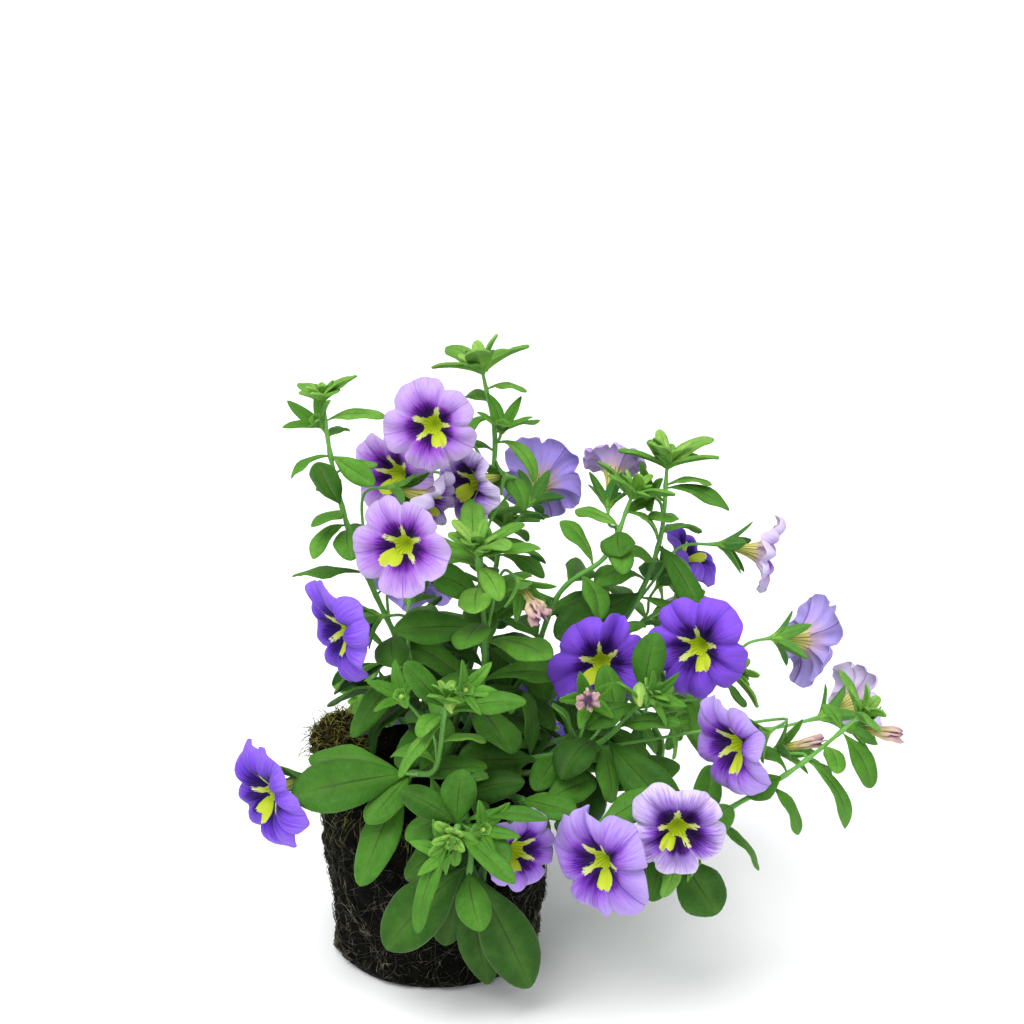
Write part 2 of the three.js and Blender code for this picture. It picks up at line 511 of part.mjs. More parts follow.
function growLeaves(stem) {
  const [count, longest, shortest, bearing] = stem.leaves;
  for (let k = 0; k < count; k += 1) {
    const t = lerp(LEAF.from, 0.94, k / (count - 1));
    const length = lerp(longest, shortest, k / (count - 1)) * (1 + 0.2 * spread(k, bearing));
    const turn = bearing + LEAF.spiral * k;
    for (const change of TRIES) {
      const size = length * change.size;
      const bend = LEAF.bend + 40 * spread(k, 3 + bearing) + change.droop;
      const lean = LEAF.lean + 20 * spread(k, 5) - change.droop / 2;
      const leaf = stemLeaf(stem, t, turn + change.turn, size, size * LEAF.slim, bend, lean);
      const points = bladeSamples(leaf);
      if (!isClear(stem.name, points, sampleRadius(leaf))) continue;
      keep(stem.name, points, sampleRadius(leaf), "leaf");
      stem.parts.push(bladeSolid(leaf, [0.25, 0.58, 0.88], true));
      stem.grown.push(leaf);
      break;
    }
  }
}

// The tuft round a shoot's tip: a star of leaves that spread, and a smaller, steeper one in it.
function growCrown(stem) {
  if (stem.crown === 0) return;
  const axis = heading(stem.points, 1);
  CROWN_TIERS.forEach((tier, row) => {
    const centre = mix([along(stem.points, 1), 1], [axis, tier.rise]);
    const leaves = [];
    for (let k = 0; k < tier.leaves; k += 1) {
      for (const size of [1, 0.8, 0.6]) {
        const bearing = stem.leaves[3] + (360 / tier.leaves) * (k + 0.3 * spread(k, stem.crown)) + 30 * row;
        const length = stem.crown * tier.size * (1 + 0.3 * spread(k, 2 + stem.crown)) * size;
        const lift = tier.lift + 16 * spread(k, 7);
        const leaf = tongue(centre, axis, bearing, lift, length, length * CROWN.slim, CROWN.bend);
        if (!isClear(stem.name, bladeSamples(leaf), sampleRadius(leaf))) continue;
        leaves.push(leaf);
        break;
      }
    }
    if (leaves.length < 3) return;
    for (const leaf of leaves) keep(stem.name, bladeSamples(leaf), sampleRadius(leaf), "tuft");
    stem.parts.push(starSolid(centre, axis, leaves, CROWN));
    stem.grown.push(...leaves);
  });
}

const stems = new Map();
for (const plan of STEMS) {
  const foot = vec([...plan.foot, BALL.height - HOLE.depth + STEM.standoff]);
  const points = [vec([...plan.foot, BALL.height + STEM.rise]), ...plan.route.map(vec)];
  const radiusAt = (t) => lerp(STEM.footR, STEM.tipR, t);
  const rings = hoops(points, radiusAt, STEM.sides, 2 * (points.length - 1));
  const peg = ringAt(foot, UP, STEM.footR, STEM.sides, across(heading(points, 0))[0]);
  const stem = { ...plan, points, parts: [skin([peg, ...rings])], grown: [] };
  stems.set(plan.name, stem);
  const samples = Array.from({ length: 50 }, (_, k) => along(points, k / 49));
  keep(plan.name, samples, STEM.footR + 1, "stem");
}

const mossSamples = [];
for (let j = 0; j < 12; j += 1) {
  const a = (2 * Math.PI * j) / 12;
  const out = vec([MOSS.wide * Math.cos(a), MOSS.long * Math.sin(a), 0]);
  const foot = vec([...MOSS.at, BALL.height]);
  mossSamples.push(mix([foot, 1], [out, 0.95], [UP, 3]), mix([foot, 1], [out, 0.6], [UP, 0.8 * MOSS.height]));
}
keep("moss", mossSamples, 4, "moss");

const corollas = [];
const tally = { flower: 0, spent: 0 };
for (const plan of BLOOMS) {
  const stem = stems.get(plan.stem);
  const seat = seatOf(plan, stem);
  const kind = plan.kind ?? "flower";
  const roll = plan.roll ?? 0;
  stem.parts.push(tube(seat.stalk, () => STALK.radius, STALK.sides, STALK.steps));
  const stalkSamples = Array.from({ length: 16 }, (_, k) => along(seat.stalk, k / 15));
  keep(plan.stem, stalkSamples, STALK.radius + 1.4, "stem");
  if (kind === "bud") {
    stem.parts.push(budSolid(seat));
    keep(plan.stem, [3, 7].map((z) => mix([seat.foot, 1], [seat.axis, z])), 3.6, "bloom");
    continue;
  }
  const sepals = sepalsOf(seat, roll);
  stem.parts.push(starSolid(seat.foot, seat.axis, sepals, CALYX));
  keep(plan.stem, sepals.flatMap(bladeSamples), sampleRadius(sepals[0]) + 0.6, "bloom");
  if (kind === "calyx") continue;
  tally[kind] += 1;
  const [side, up] = across(seat.axis);
  const hoop = (r, z, n) =>
    Array.from({ length: n }, (_, j) => {
      const a = (2 * Math.PI * j) / n + radians(roll);
      return mix([seat.foot, 1], [side, r * Math.cos(a)], [up, -r * Math.sin(a)], [seat.axis, z]);
    });
  const name = kind + "_" + String(tally[kind]).padStart(2, "0");
  const solid = kind === "flower" ? corollaSolid(plan, seat) : spentSolid(seat);
  corollas.push({ name, solid, kind });
  const reach = kind === "flower" ? plan.across / 2 : 3;
  const z = TUBE.length;
  const limb = [...hoop(reach * 0.95, z, 20), ...hoop(reach * 0.68, z, 14), ...hoop(reach * 0.4, z, 8)];
  keep(name, limb, 3.2, "bloom");
  keep(name, [...hoop(1, 8, 3), ...hoop(1.6, 12, 4), ...hoop(3, 17, 5)], 2.4, "bloom");
}

for (const plan of SHOW_LEAVES) {
  const stem = stems.get(plan.stem);
  const base = along(stem.points, plan.from);
  const leaf = leafTo(base, vec(plan.tip), looking(plan.looks), plan.width, plan.bend);
  keep(plan.stem, bladeSamples(leaf), sampleRadius(leaf), "leaf");
  stem.parts.push(bladeSolid(leaf, [0.2, 0.52, 0.85]));
  stem.grown.push(leaf);
}
for (const stem of stems.values()) growCrown(stem);
for (const stem of stems.values()) growLeaves(stem);

// ---------------------------------------------------------------- root ball and moss
// A slightly tapered plug, as the pot shaped it, with an uneven side and a hole for every stem.
function rootBall() {
  const profile = [
    [BALL.footR, 0],
    [BALL.bottomR - 0.6, 3],
    [lerp(BALL.bottomR, BALL.topR, 0.25), 20],
    [lerp(BALL.bottomR, BALL.topR, 0.5), 40],
    [lerp(BALL.bottomR, BALL.topR, 0.75), 60],
    [BALL.topR, 77],
    [BALL.topR - 3, BALL.height],
    [28, BALL.height],
  ];
  const rings = profile.map(([r, z]) =>
    Array.from({ length: BALL.sides }, (_, j) => {
      const a = (2 * Math.PI * j) / BALL.sides;
      const onSide = z > 0 && z < BALL.height ? 1 : 0;
      const bump = onSide * (0.7 * Math.sin(3 * a + z / 17) + 0.5 * Math.sin(8 * a - z / 9));
      return vec([(r + bump) * Math.cos(a), (r + bump) * Math.sin(a), z]);
    }),
  );
  let ball = skin([...rings, [vec([0, 0, BALL.height])]]);
  for (const plan of STEMS) {
    const mouth = vec([...plan.foot, BALL.height + 4]);
    const end = vec([...plan.foot, BALL.height - HOLE.depth]);
    ball = ball.subtract(tube([end, mouth], () => HOLE.radius, HOLE.sides, 1));
  }
  return ball;
}

// The mossy knob of soil on the ball's rim, with a ragged foot.
function mossKnob() {
  const ring = (share, z) =>
    Array.from({ length: MOSS.sides }, (_, j) => {
      const a = (2 * Math.PI * j) / MOSS.sides;
      const ragged = share * (1 + (j % 2 ? 0.1 : -0.07));
      const lift = z > 0 && j % 2 ? 0.9 : 0;
      return vec([
        MOSS.at[0] + MOSS.wide * ragged * Math.cos(a),
        MOSS.at[1] + MOSS.long * ragged * Math.sin(a),
        BALL.height + MOSS.gap + z + lift,
      ]);
    });
  const top = [vec([...MOSS.at, BALL.height + MOSS.gap + MOSS.height])];
  const { height } = MOSS;
  return skin([ring(0.9, 0), ring(0.98, 3), ring(0.82, 0.56 * height), ring(0.5, 0.84 * height), top]);
}

// ---------------------------------------------------------------- meshes
const colours = {
  soil: new THREE.MeshStandardMaterial({ color: 0x2a1f16, roughness: 1, metalness: 0 }),
  moss: new THREE.MeshStandardMaterial({ color: 0x5d6b2a, roughness: 1, metalness: 0 }),
  leaf: new THREE.MeshStandardMaterial({ color: 0x4f8a3a, roughness: 0.6, metalness: 0 }),
  flower: new THREE.MeshStandardMaterial({ color: 0x9068d8, roughness: 0.55, metalness: 0 }),
  spent: new THREE.MeshStandardMaterial({ color: 0xb98a86, roughness: 0.8, metalness: 0 }),
};

// The largest body of a solid: a scrap that a union leaves loose is dropped.
function mainBody(solid) {
  const bodies = solid.decompose();
  return bodies.reduce((best, body) => (body.volume() > best.volume() ? body : best));
}

// The points and triangles of a solid, without the splinters that a union leaves: a point slides
// onto a neighbour where that moves no face by more than TRIM.
const TRIM = 0.16;
function trimmed(solid) {
  const { vertProperties, triVerts, numProp } = solid.getMesh();
  const points = [];
  for (let i = 0; i < vertProperties.length; i += numProp)
    points.push(vec(vertProperties.subarray(i, i + 3)));
  const faces = [];
  const fans = points.map(() => new Set());
  for (let i = 0; i < triVerts.length; i += 3) {
    const face = [...triVerts.subarray(i, i + 3)];
    faces.push(face);
    for (const v of face) fans[v].add(face);
  }
  const normal = ([a, b, c]) => {
    const edge = points[b].clone().sub(points[a]);
    return edge.cross(points[c].clone().sub(points[a]));
  };
  const ringOf = (v) => new Set([...fans[v]].flat().filter((w) => w !== v));
  const maySlide = (a, b) => {
    const near = ringOf(a);
    const shared = [...ringOf(b)].filter((v) => near.has(v));
    if (shared.length !== 2) return false;
    const shift = points[b].clone().sub(points[a]);
    const tiny = shift.length() < 0.05;
    for (const face of fans[a]) {
      const before = normal(face);
      const flat = before.length() < 1e-6;
      before.normalize();
      if (!flat && Math.abs(before.dot(shift)) > TRIM) return false;
      if (face.includes(b)) continue;
      const after = normal(face.map((v) => (v === a ? b : v)));
      if (!tiny && after.length() < 0.01) return false;
      if (!flat && after.normalize().dot(before) < 0.3) return false;
    }
    return true;
  };
  const slide = (a, b) => {
    for (const face of [...fans[a]]) {
      fans[a].delete(face);
      if (face.includes(b)) for (const v of face) fans[v].delete(face);
      else {
        face[face.indexOf(a)] = b;
        fans[b].add(face);
      }
    }
  };
  for (let pass = 0; pass < 4; pass += 1)
    points.forEach((point, a) => {
      const near = [...ringOf(a)].sort((p, q) => points[p].distanceTo(point) - points[q].distanceTo(point));
      const b = near.find((v) => maySlide(a, v));
      if (b !== undefined) slide(a, b);
    });
  const kept = faces.filter((face) => fans[face[0]].has(face));
  return { points, faces: kept };
}

function meshOf(name, solid, material) {
  const { points, faces } = trimmed(solid);
  const geometry = new THREE.BufferGeometry();
  const corners = faces.flat().flatMap((v) => [points[v].x, points[v].y, points[v].z]);
  geometry.setAttribute("position", new THREE.Float32BufferAttribute(corners, 3));
  const merged = mergeVertices(geometry, 1e-4);
  merged.computeVertexNormals();
  const mesh = new THREE.Mesh(merged, material);
  mesh.name = name;
  return mesh;
}

const plant = new THREE.Group();
plant.add(meshOf("root_ball", rootBall(), colours.soil));
plant.add(meshOf("moss", mossKnob(), colours.moss));
for (const stem of stems.values())
  plant.add(meshOf("stem_" + stem.name, mainBody(wasm.Manifold.union(stem.parts)), colours.leaf));
for (const { name, solid, kind } of corollas) plant.add(meshOf(name, solid, colours[kind]));

export default plant;
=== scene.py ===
# A young calibrachoa on its bare root ball: fine leaves, patterned petals, down, peat, roots and moss.
# The tables and the growth rule are the part's own, in millimetres; meshes are made in metres, +Z up.
import math
from functools import partial
from itertools import product

import bpy
import numpy as np
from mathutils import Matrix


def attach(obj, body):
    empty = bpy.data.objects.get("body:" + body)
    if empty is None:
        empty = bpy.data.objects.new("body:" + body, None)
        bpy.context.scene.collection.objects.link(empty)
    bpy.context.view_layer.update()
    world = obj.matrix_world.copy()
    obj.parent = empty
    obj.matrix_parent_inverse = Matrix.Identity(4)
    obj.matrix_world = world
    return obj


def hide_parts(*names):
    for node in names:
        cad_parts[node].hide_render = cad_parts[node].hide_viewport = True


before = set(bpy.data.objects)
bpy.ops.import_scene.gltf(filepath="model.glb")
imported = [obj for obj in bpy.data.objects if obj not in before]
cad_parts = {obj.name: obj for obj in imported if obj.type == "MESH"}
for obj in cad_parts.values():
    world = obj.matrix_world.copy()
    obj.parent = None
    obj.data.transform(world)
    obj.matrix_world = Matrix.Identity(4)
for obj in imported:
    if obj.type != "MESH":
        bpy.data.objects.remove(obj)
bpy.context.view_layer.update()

MM = 0.001
chance = np.random.default_rng(20)

# ---------------------------------------------------------------- the part's driving dimensions, mm
BALL_HEIGHT, BALL_TOP, BALL_BOTTOM, BALL_FOOT = 82, 48, 42, 38.5
PEG_FOOT, STEM_RISE = 69.4, 3
STEM_FOOT_R, STEM_TIP_R = 1.7, 1.0
STALK_R = 0.7
SEPAL_LENGTH, SEPAL_WIDTH, SEPAL_LIFT, SEPAL_BEND, SEPAL_YOUTH = 17, 5.2, 58, 26, 0.52
CROWN_SLIM, CROWN_BEND = 0.36, 34
CROWN_TIERS = [(5, 36, 1, 0), (3, 66, 0.58, 1.2)]  # leaves, lift, size, rise
MOSS_AT, MOSS_LONG, MOSS_WIDE, MOSS_HEIGHT, MOSS_GAP = (-40, 13), 17, 11, 14, 0.3
TUBE_LENGTH, TUBE_SEAT, TUBE_FOOT_R, WAIST_R, MOUTH_R = 21, 0.9, 0.5, 2.1, 3.5
LOBES, FIFTH = 5, 72
LEAF_SLIM, LEAF_FOLD, LEAF_LEAN, LEAF_BEND, SPIRAL = 0.48, 12, 24, 54, 137.5
LEAVES_FROM, LEAVES_TO = 0.08, 0.94  # shares of the way up a stem
# what a leaf that touches something is tried with, in turn: shares of its length, turns and droops
LEAF_SIZES, LEAF_TURNS, LEAF_DROOPS = (1, 0.82, 0.64), (0, 24, -24, 48, -48, 72, -72), (0, 22, -22)
TUFT_SIZES = (1, 0.8, 0.6)
SAMPLE_ROWS, SAMPLE_SIDE = 9, 2  # places that stand for a blade: rows, and how many beside its midrib
CLEAR_FACTOR, CLEAR_OWN, CLEAR_FLOOR, CLEAR_BALL = 0.62, 0.3, 3, 1.8
STEM_ROOM, STALK_ROOM, BUD_ROOM, SEPAL_ROOM, LIMB_ROOM, TUBE_ROOM, MOSS_ROOM = 1, 1.4, 3.6, 0.6, 3.2, 2.4, 4

# ---------------------------------------------------------------- the plant's habit
# name, foot, route to the tip, (leaves, lowest one's length, highest one's, first bearing), crown length
STEMS = [
    ("centre_tall", (11, 14), [(20, 22, 118), (18, 32, 160), (24, 44, 203), (19, 50, 233)],
     (18, 40, 17, 20), 17),
    ("centre", (7, 0), [(17, -4, 112), (20, -8, 140), (17, -12, 178)], (13, 42, 26, 200), 17),
    ("left_tall", (-5, 8), [(-5, 5, 112), (-17, 1, 140), (-32, 0, 177), (-40, 5, 207), (-44, 10, 234)],
     (18, 38, 15, 80), 14),
    ("right_tall", (21, 12), [(51, 22, 106), (78, 30, 135), (91, 38, 164), (94, 45, 194)],
     (17, 42, 20, 150), 17),
    ("right_arch", (17, 22), [(37, 26, 112), (50, 21, 148), (69, 20, 165), (79, 25, 188)],
     (14, 40, 18, 300), 15),
    ("left_low", (-11, -28), [(-9, -46, 98), (1, -54, 104), (5, -52, 131)], (8, 32, 18, 60), 16),
    ("front", (5, -18), [(10, -46, 96), (12, -66, 92), (9, -84, 90)], (8, 36, 22, 40), 15),
    ("front_low", (10, -36), [(13, -56, 84), (15, -68, 76), (14, -73, 66)], (6, 34, 26, 100), 0),
    ("right_shoot", (23, -8), [(43, -16, 92), (65, -26, 102), (84, -36, 127)], (11, 38, 20, 110), 15),
    ("right_trail", (31, -16),
     [(57, -20, 85), (95, -53, 76), (120, -62, 93), (143, -62, 109), (165, -62, 129)],
     (15, 36, 16, 10), 12),
    ("right_mid", (32, 4), [(55, 6, 92), (87, 8, 106), (119, 10, 118)], (14, 38, 22, 250), 14),
    ("back_mid", (7, 28), [(15, 46, 112), (23, 56, 140), (27, 60, 163)], (15, 40, 20, 0), 15),
    ("back_right", (25, 28), [(53, 44, 104), (81, 62, 116), (101, 78, 124)], (15, 40, 20, 90), 15),
    ("back_left", (-10, 24), [(-16, 50, 104), (-24, 74, 96), (-31, 92, 74)], (15, 40, 18, 220), 14),
    ("back_low_right", (35, 20), [(61, 56, 88), (85, 78, 72), (103, 92, 62)], (15, 38, 18, 330), 14),
    ("back_low", (-3, 37), [(5, 66, 88), (13, 90, 70), (23, 104, 56)], (15, 38, 18, 130), 14),
    ("front_right", (17, -26), [(41, -50, 86), (69, -62, 80), (99, -66, 72)], (11, 34, 20, 20), 12),
]

# stem, share of the way up it, place of the mouth, (bearing, lift) that it faces, and for an open flower
# its width, its first lobe's bearing and its shade
BLOOMS = {
    "flower": [
        ("centre_tall", 0.62, (-1, -4, 228), (-10, 12), 38, 8, "rose"),
        ("left_tall", 0.42, (-12, -34, 189), (-12, 12), 40, 20, "rose"),
        ("left_tall", 0.24, (-39, -22, 148), (-60, -8), 44, 0, "violet"),
        ("left_low", 0.45, (-67, -50, 90), (-54, -8), 48, 30, "violet"),
        ("back_mid", 0.8, (44, 75, 178), (163, 10), 38, 12, "lavender"),
        ("centre_tall", 0.56, (-18, 44, 191), (-34, 12), 38, 40, "rose"),
        ("left_tall", 0.48, (1, 8, 192), (66, -10), 28, 0, "pale"),
        ("centre_tall", 0.5, (13, 16, 197), (-48, 4), 34, 20, "white_rim"),
        ("right_arch", 0.8, (73, 58, 192), (168, 48), 28, 10, "rose"),
        ("right_shoot", 0.55, (66, -12, 131), (-8, 18), 41, 26, "deep"),
        ("right_mid", 0.72, (103, -26, 143), (-24, 10), 42, 14, "deep"),
        ("right_shoot", 0.35, (114, -75, 122), (-52, -2), 44, 4, "lavender"),
        ("front_right", 0.8, (95, -85, 91), (4, 4), 40, 18, "white_rim"),
        ("front_right", 0.5, (63, -96, 82), (-37, -4), 48, 0, "lavender"),
        ("front_low", 0.5, (35, -72, 76), (38, 8), 34, 30, "lavender"),
        ("right_mid", 0.86, (153, 20, 128), (122, -15), 38, 24, "blue"),
        ("right_mid", 0.6, (170, -12, 116), (125, 10), 33, 0, "pale"),
        ("back_right", 0.7, (105, 62, 151), (80, 50), 34, 15, "violet"),
        ("right_tall", 0.5, (136, 42, 157), (78, -8), 34, 36, "pale"),
        ("back_left", 0.82, (-23, 104, 46), (200, 4), 38, 12, "violet"),
        ("back_left", 0.36, (-11, 108, 124), (176, 16), 38, 30, "lavender"),
        ("back_low", 0.7, (43, 120, 52), (166, 4), 39, 2, "deep"),
        ("back_low_right", 0.66, (103, 112, 74), (146, 8), 38, 22, "rose"),
        ("back_right", 0.86, (111, 94, 101), (138, 6), 38, 6, "white_rim"),
    ],
    "spent": [
        ("centre", 0.6, (42, -38, 160), (28, -30)),
        ("right_shoot", 0.42, (61, -52, 132), (0, 24)),
        ("right_trail", 0.82, (151, -58, 118), (66, 24)),
        ("right_trail", 0.96, (182, -60, 120), (84, -8)),
    ],
    "calyx": [
        ("left_low", 0.7, (-19, -54, 142), (-30, 44)),
        ("left_low", 0.95, (23, -66, 146), (40, 30)),
        ("centre_tall", 0.74, (29, 34, 230), (20, 70)),
        ("left_tall", 0.8, (-55, 0, 240), (-50, 50)),
        ("right_tall", 0.78, (77, 24, 194), (-40, 30)),
        ("front", 0.9, (-5, -98, 90), (-40, 24)),
        ("front", 0.82, (29, -96, 100), (36, 30)),
        ("right_shoot", 0.93, (97, -52, 134), (44, 20)),
    ],
    "bud": [
        ("left_low", 0.86, (9, -64, 120), (10, -40)),
        ("front", 0.95, (3, -98, 82), (-20, -10)),
        ("right_shoot", 0.9, (81, -50, 116), (0, -50)),
    ],
}

# leaves that make the plant's face, by stem: share of the way up it, place of the tip, (bearing, lift) that
# the upper side faces, width, bend, and for some how much lighter their green is than their width says,
# as fresher tissue, and on the centre stem's leaf at 0.7 as painted light
SHOW_LEAVES = {
    "left_low": [
        (0.38, (-53, -62, 96), (-4, 50), 21, 26, 0.34),
        (0.24, (-48, -32, 98), (-10, 60), 14, 46, 0.12),
        (0.97, (-10, -58, 149), (-10, 50), 11, 30),
        (0.95, (35, -60, 134), (14, 70), 10, 46),
        (0.9, (-12, -68, 107), (-50, 26), 9, 60),
        (0.24, (-28, -64, 60), (-26, 14), 15, 70, 0.12),
    ],
    "front_low": [
        (0.9, (37, -68, 18), (14, 12), 20, 26),
        (0.84, (-17, -72, 36), (-14, 16), 21, 34),
        (0.7, (21, -57, 14), (6, 4), 15, 10),
        (0.66, (5, -60, 32), (0, 4), 17, 16),
    ],
    "front": [
        (0.92, (12, -76, 112), (0, 12), 14, 24),
        (0.9, (-11, -82, 106), (-20, 50), 11, 40),
        (0.86, (43, -88, 97), (10, 70), 8, 40),
        (0.98, (-5, -94, 54), (-40, 20), 9, 40),
        (0.98, (31, -102, 78), (-10, 50), 9, 40),
    ],
    "right_shoot": [
        (0.72, (97, -52, 81), (-14, 30), 18, 50),
        (0.5, (59, -32, 68), (-10, 20), 21, 30),
        (0.66, (51, -46, 96), (-20, 60), 17, 110),
        (0.3, (11, -32, 98), (0, 40), 16, 24),
        (0.22, (19, -46, 86), (-20, 50), 15, 40),
        (0.98, (87, -32, 151), (0, 20), 13, 30),
        (0.94, (61, -42, 116), (-10, 60), 13, 50),
        (0.8, (96, -44, 118), (0, 70), 11, 40),
    ],
    "front_right": [
        (0.24, (55, -60, 88), (-10, 50), 13, 40),
        (0.97, (111, -66, 48), (8, 16), 19, 24),
    ],
    "centre": [
        (0.98, (-4, -26, 188), (-20, 64), 9, 30),
        (0.98, (41, -22, 183), (20, 66), 9, 34),
        (0.94, (26, -32, 166), (10, 40), 9, 60),
        (0.82, (0, -20, 172), (-20, 40), 13, 20),
        # painted light: its 0.26 lifts the green of a leaf that sits in shade under the flowers above
        (0.7, (-14, -28, 151), (-6, 46), 17, 34, 0.26),
    ],
    "right_tall": [
        (0.58, (50, 10, 134), (-12, 48), 19, 24),
        (0.74, (106, 20, 141), (30, 34), 12, 70),
        (0.93, (118, 38, 178), (30, 60), 10, 56),
    ],
    "right_arch": [(0.86, (74, 6, 170), (-10, 30), 14, 40)],
    "left_tall": [
        (0.84, (-24, -6, 205), (-10, 40), 9, 30),
        (0.7, (-45, -6, 213), (-20, 10), 12, 20),
        (0.94, (-20, 4, 229), (10, 66), 7, 50),
        (0.65, (-47, -12, 176), (-40, 40), 8, 90),
        (0.3, (-32, -16, 102), (-26, 20), 12, 50),
    ],
    "centre_tall": [(0.76, (39, 34, 192), (40, 50), 7, 130)],
    "right_trail": [
        (0.74, (123, -70, 99), (-30, 40), 12, 40),
        (0.82, (160, -66, 85), (50, 30), 9, 90),
        (0.94, (170, -64, 101), (30, 10), 10, 40),
    ],
}

# ---------------------------------------------------------------- the growth rule
UP = np.array((0.0, 0.0, 1.0))
GOLDEN, PLASTIC = 0.6180339887, 0.7548776662


def unit(v):
    """Vectors at length 1."""
    return v / np.linalg.norm(v, axis=-1, keepdims=True)


def looking(faces):
    """The unit vector at a bearing (0 towards -Y, 90 towards +X) and a lift, in degrees."""
    b, l = np.radians(faces)
    return np.array((np.sin(b) * np.cos(l), -np.cos(b) * np.cos(l), np.sin(l)))


def spread(n, shift):
    """The golden-ratio sequence, from -0.5 to 0.5."""
    return (n * GOLDEN + shift * PLASTIC) % 1 - 0.5


def along(points, t):
    """Catmull-Rom curve: each span blends its two ends and their neighbours by cubic weights."""
    points, t = np.asarray(points, float), np.asarray(t, float)
    last = len(points) - 1
    padded = np.vstack((2 * points[0] - points[1], points, 2 * points[-1] - points[-2]))
    i = np.minimum(last - 1, np.floor(t * last).astype(int))
    u = (t * last - i)[..., None]
    a, b, c, d = (padded[i + k] for k in range(4))
    return (a * (-u**3 + 2 * u**2 - u) + b * (3 * u**3 - 5 * u**2 + 2)
            + c * (-3 * u**3 + 4 * u**2 + u) + d * (u**3 - u**2)) / 2


def heading(points, t):
    """The curve's direction, from places a hundredth before and after."""
    t = np.asarray(t, float)
    return unit(along(points, np.minimum(1, t + 0.01)) - along(points, np.maximum(0, t - 0.01)))


def even_turn(count):
    """Angles evenly round a whole turn."""
    return 2 * np.pi * np.arange(count) / count


def across(axis):
    """Two unit vectors square to an axis, the second as near to up as it can be."""
    guide = np.where(np.abs(axis[..., 2:]) > 0.95, (0.0, 1.0, 0.0), UP)
    side = unit(np.cross(axis, guide))
    return side, np.cross(side, axis)


def round_axis(start, axis, angle, r, z):
    """Places at angles round an axis, at a radius from it and a distance along it."""
    side, up = across(axis)
    return (start + np.asarray(z)[..., None] * axis
            + (r * np.cos(angle))[..., None] * side - (r * np.sin(angle))[..., None] * up)


def leaf_from(base, ahead, guide, length, width, bend):
    """A blade's frame: where it starts, the way it sets out, its upper side and its size."""
    right = unit(np.cross(ahead, guide))
    return dict(base=base, ahead=ahead, upper=np.cross(right, ahead), right=right,
                length=length, width=width, bend=bend)


def leaf_to(base, tip, guide, width, bend):
    """A blade whose tip reaches a point: the chord is known, and the arc follows from the bend."""
    chord, half = tip - base, math.radians(bend) / 2
    length = np.linalg.norm(chord) * half / math.sin(half)
    chord = unit(chord)
    right = unit(np.cross(chord, guide))
    normal = np.cross(right, chord)
    ahead = chord * math.cos(half) + normal * math.sin(half)
    upper = normal * math.cos(half) - chord * math.sin(half)
    return leaf_from(base, ahead, upper, length, width, bend)


def tongue(centre, axis, bearing, lift, length, width, bend):
    """A blade of a star round an axis, at a bearing round it and a lift towards it."""
    side, up = across(axis)
    a, l = math.radians(bearing), math.radians(lift)
    out = side * math.cos(a) - up * math.sin(a)
    return leaf_from(centre, out * math.cos(l) + axis * math.sin(l), axis, length, width, bend)


def spatula(s):
    """Half width along a leaf, as a share: sin(pi s^1.25)^0.8, a slim foot and a round tip."""
    return np.sin(np.pi * np.clip(s, 0, 1)**1.25).clip(0)**0.8


def blade(leaf, s):
    """The midrib bends away from its upper side in one arc: places on it and its upper direction."""
    whole = np.radians(leaf["bend"])
    a = whole * s
    reach = leaf["length"] * np.sin(a) / whole
    drop = leaf["length"] * (1 - np.cos(a)) / whole
    mid = leaf["base"] + reach[..., None] * leaf["ahead"] - drop[..., None] * leaf["upper"]
    upper = np.cos(a)[..., None] * leaf["upper"] + np.sin(a)[..., None] * leaf["ahead"]
    return mid, upper


def blade_samples(leaf):
    """Nine rows of five places over a blade folded by 12 degrees."""
    s = np.arange(1, SAMPLE_ROWS + 1) / (SAMPLE_ROWS + 0.5)
    mid, upper = blade(leaf, s)
    half = (leaf["width"] / 2 * spatula(s))[:, None] * np.arange(-SAMPLE_SIDE, SAMPLE_SIDE + 1) / SAMPLE_SIDE
    fold = math.radians(LEAF_FOLD)
    rows = (mid[:, None] + half[..., None] * math.cos(fold) * leaf["right"]
            + np.abs(half)[..., None] * math.sin(fold) * upper[:, None])
    return rows.reshape(-1, 3)


def sample_radius(leaf):
    """Half the diagonal of a cell between four of a blade's places."""
    return 0.5 * math.hypot(leaf["length"] / (SAMPLE_ROWS + 0.5), leaf["width"] / 2 / SAMPLE_SIDE)


placed = []  # node, places, their radius, role, centre and reach of what is already in place


def ball_round(points):
    """The places' middle, and how far the furthest is from it."""
    centre = points.mean(0)
    return centre, np.linalg.norm(points - centre, axis=1).max()


def keep(node, points, radius, role):
    """Notes places as taken."""
    centre, reach = ball_round(points)
    placed.append((node, points, radius, role, centre, reach))


def ball_radius(z):
    """The root ball's radius at a height, between its foot's and its top's."""
    return BALL_BOTTOM + (BALL_TOP - BALL_BOTTOM) * np.clip(z / BALL_HEIGHT, 0, 1)


def is_clear(node, points, radius):
    """True where the places keep off the floor, the root ball and everything in place."""
    low = points[:, 2] < BALL_HEIGHT + CLEAR_BALL
    near_axis = np.hypot(points[:, 0], points[:, 1]) < ball_radius(points[:, 2]) + CLEAR_BALL
    if (points[:, 2] < CLEAR_FLOOR).any() or (low & near_axis).any():
        return False
    centre, reach = ball_round(points)
    for other, others, other_radius, role, other_centre, other_reach in placed:
        if other == node and role == "stem":
            continue
        limit = (CLEAR_OWN if other == node else CLEAR_FACTOR) * (radius + other_radius)
        gap = centre - other_centre
        if gap @ gap > (reach + other_reach + limit)**2:
            continue
        apart = points[:, None] - others
        if (np.einsum("ijk,ijk->ij", apart, apart) < limit * limit).any():
            return False
    return True


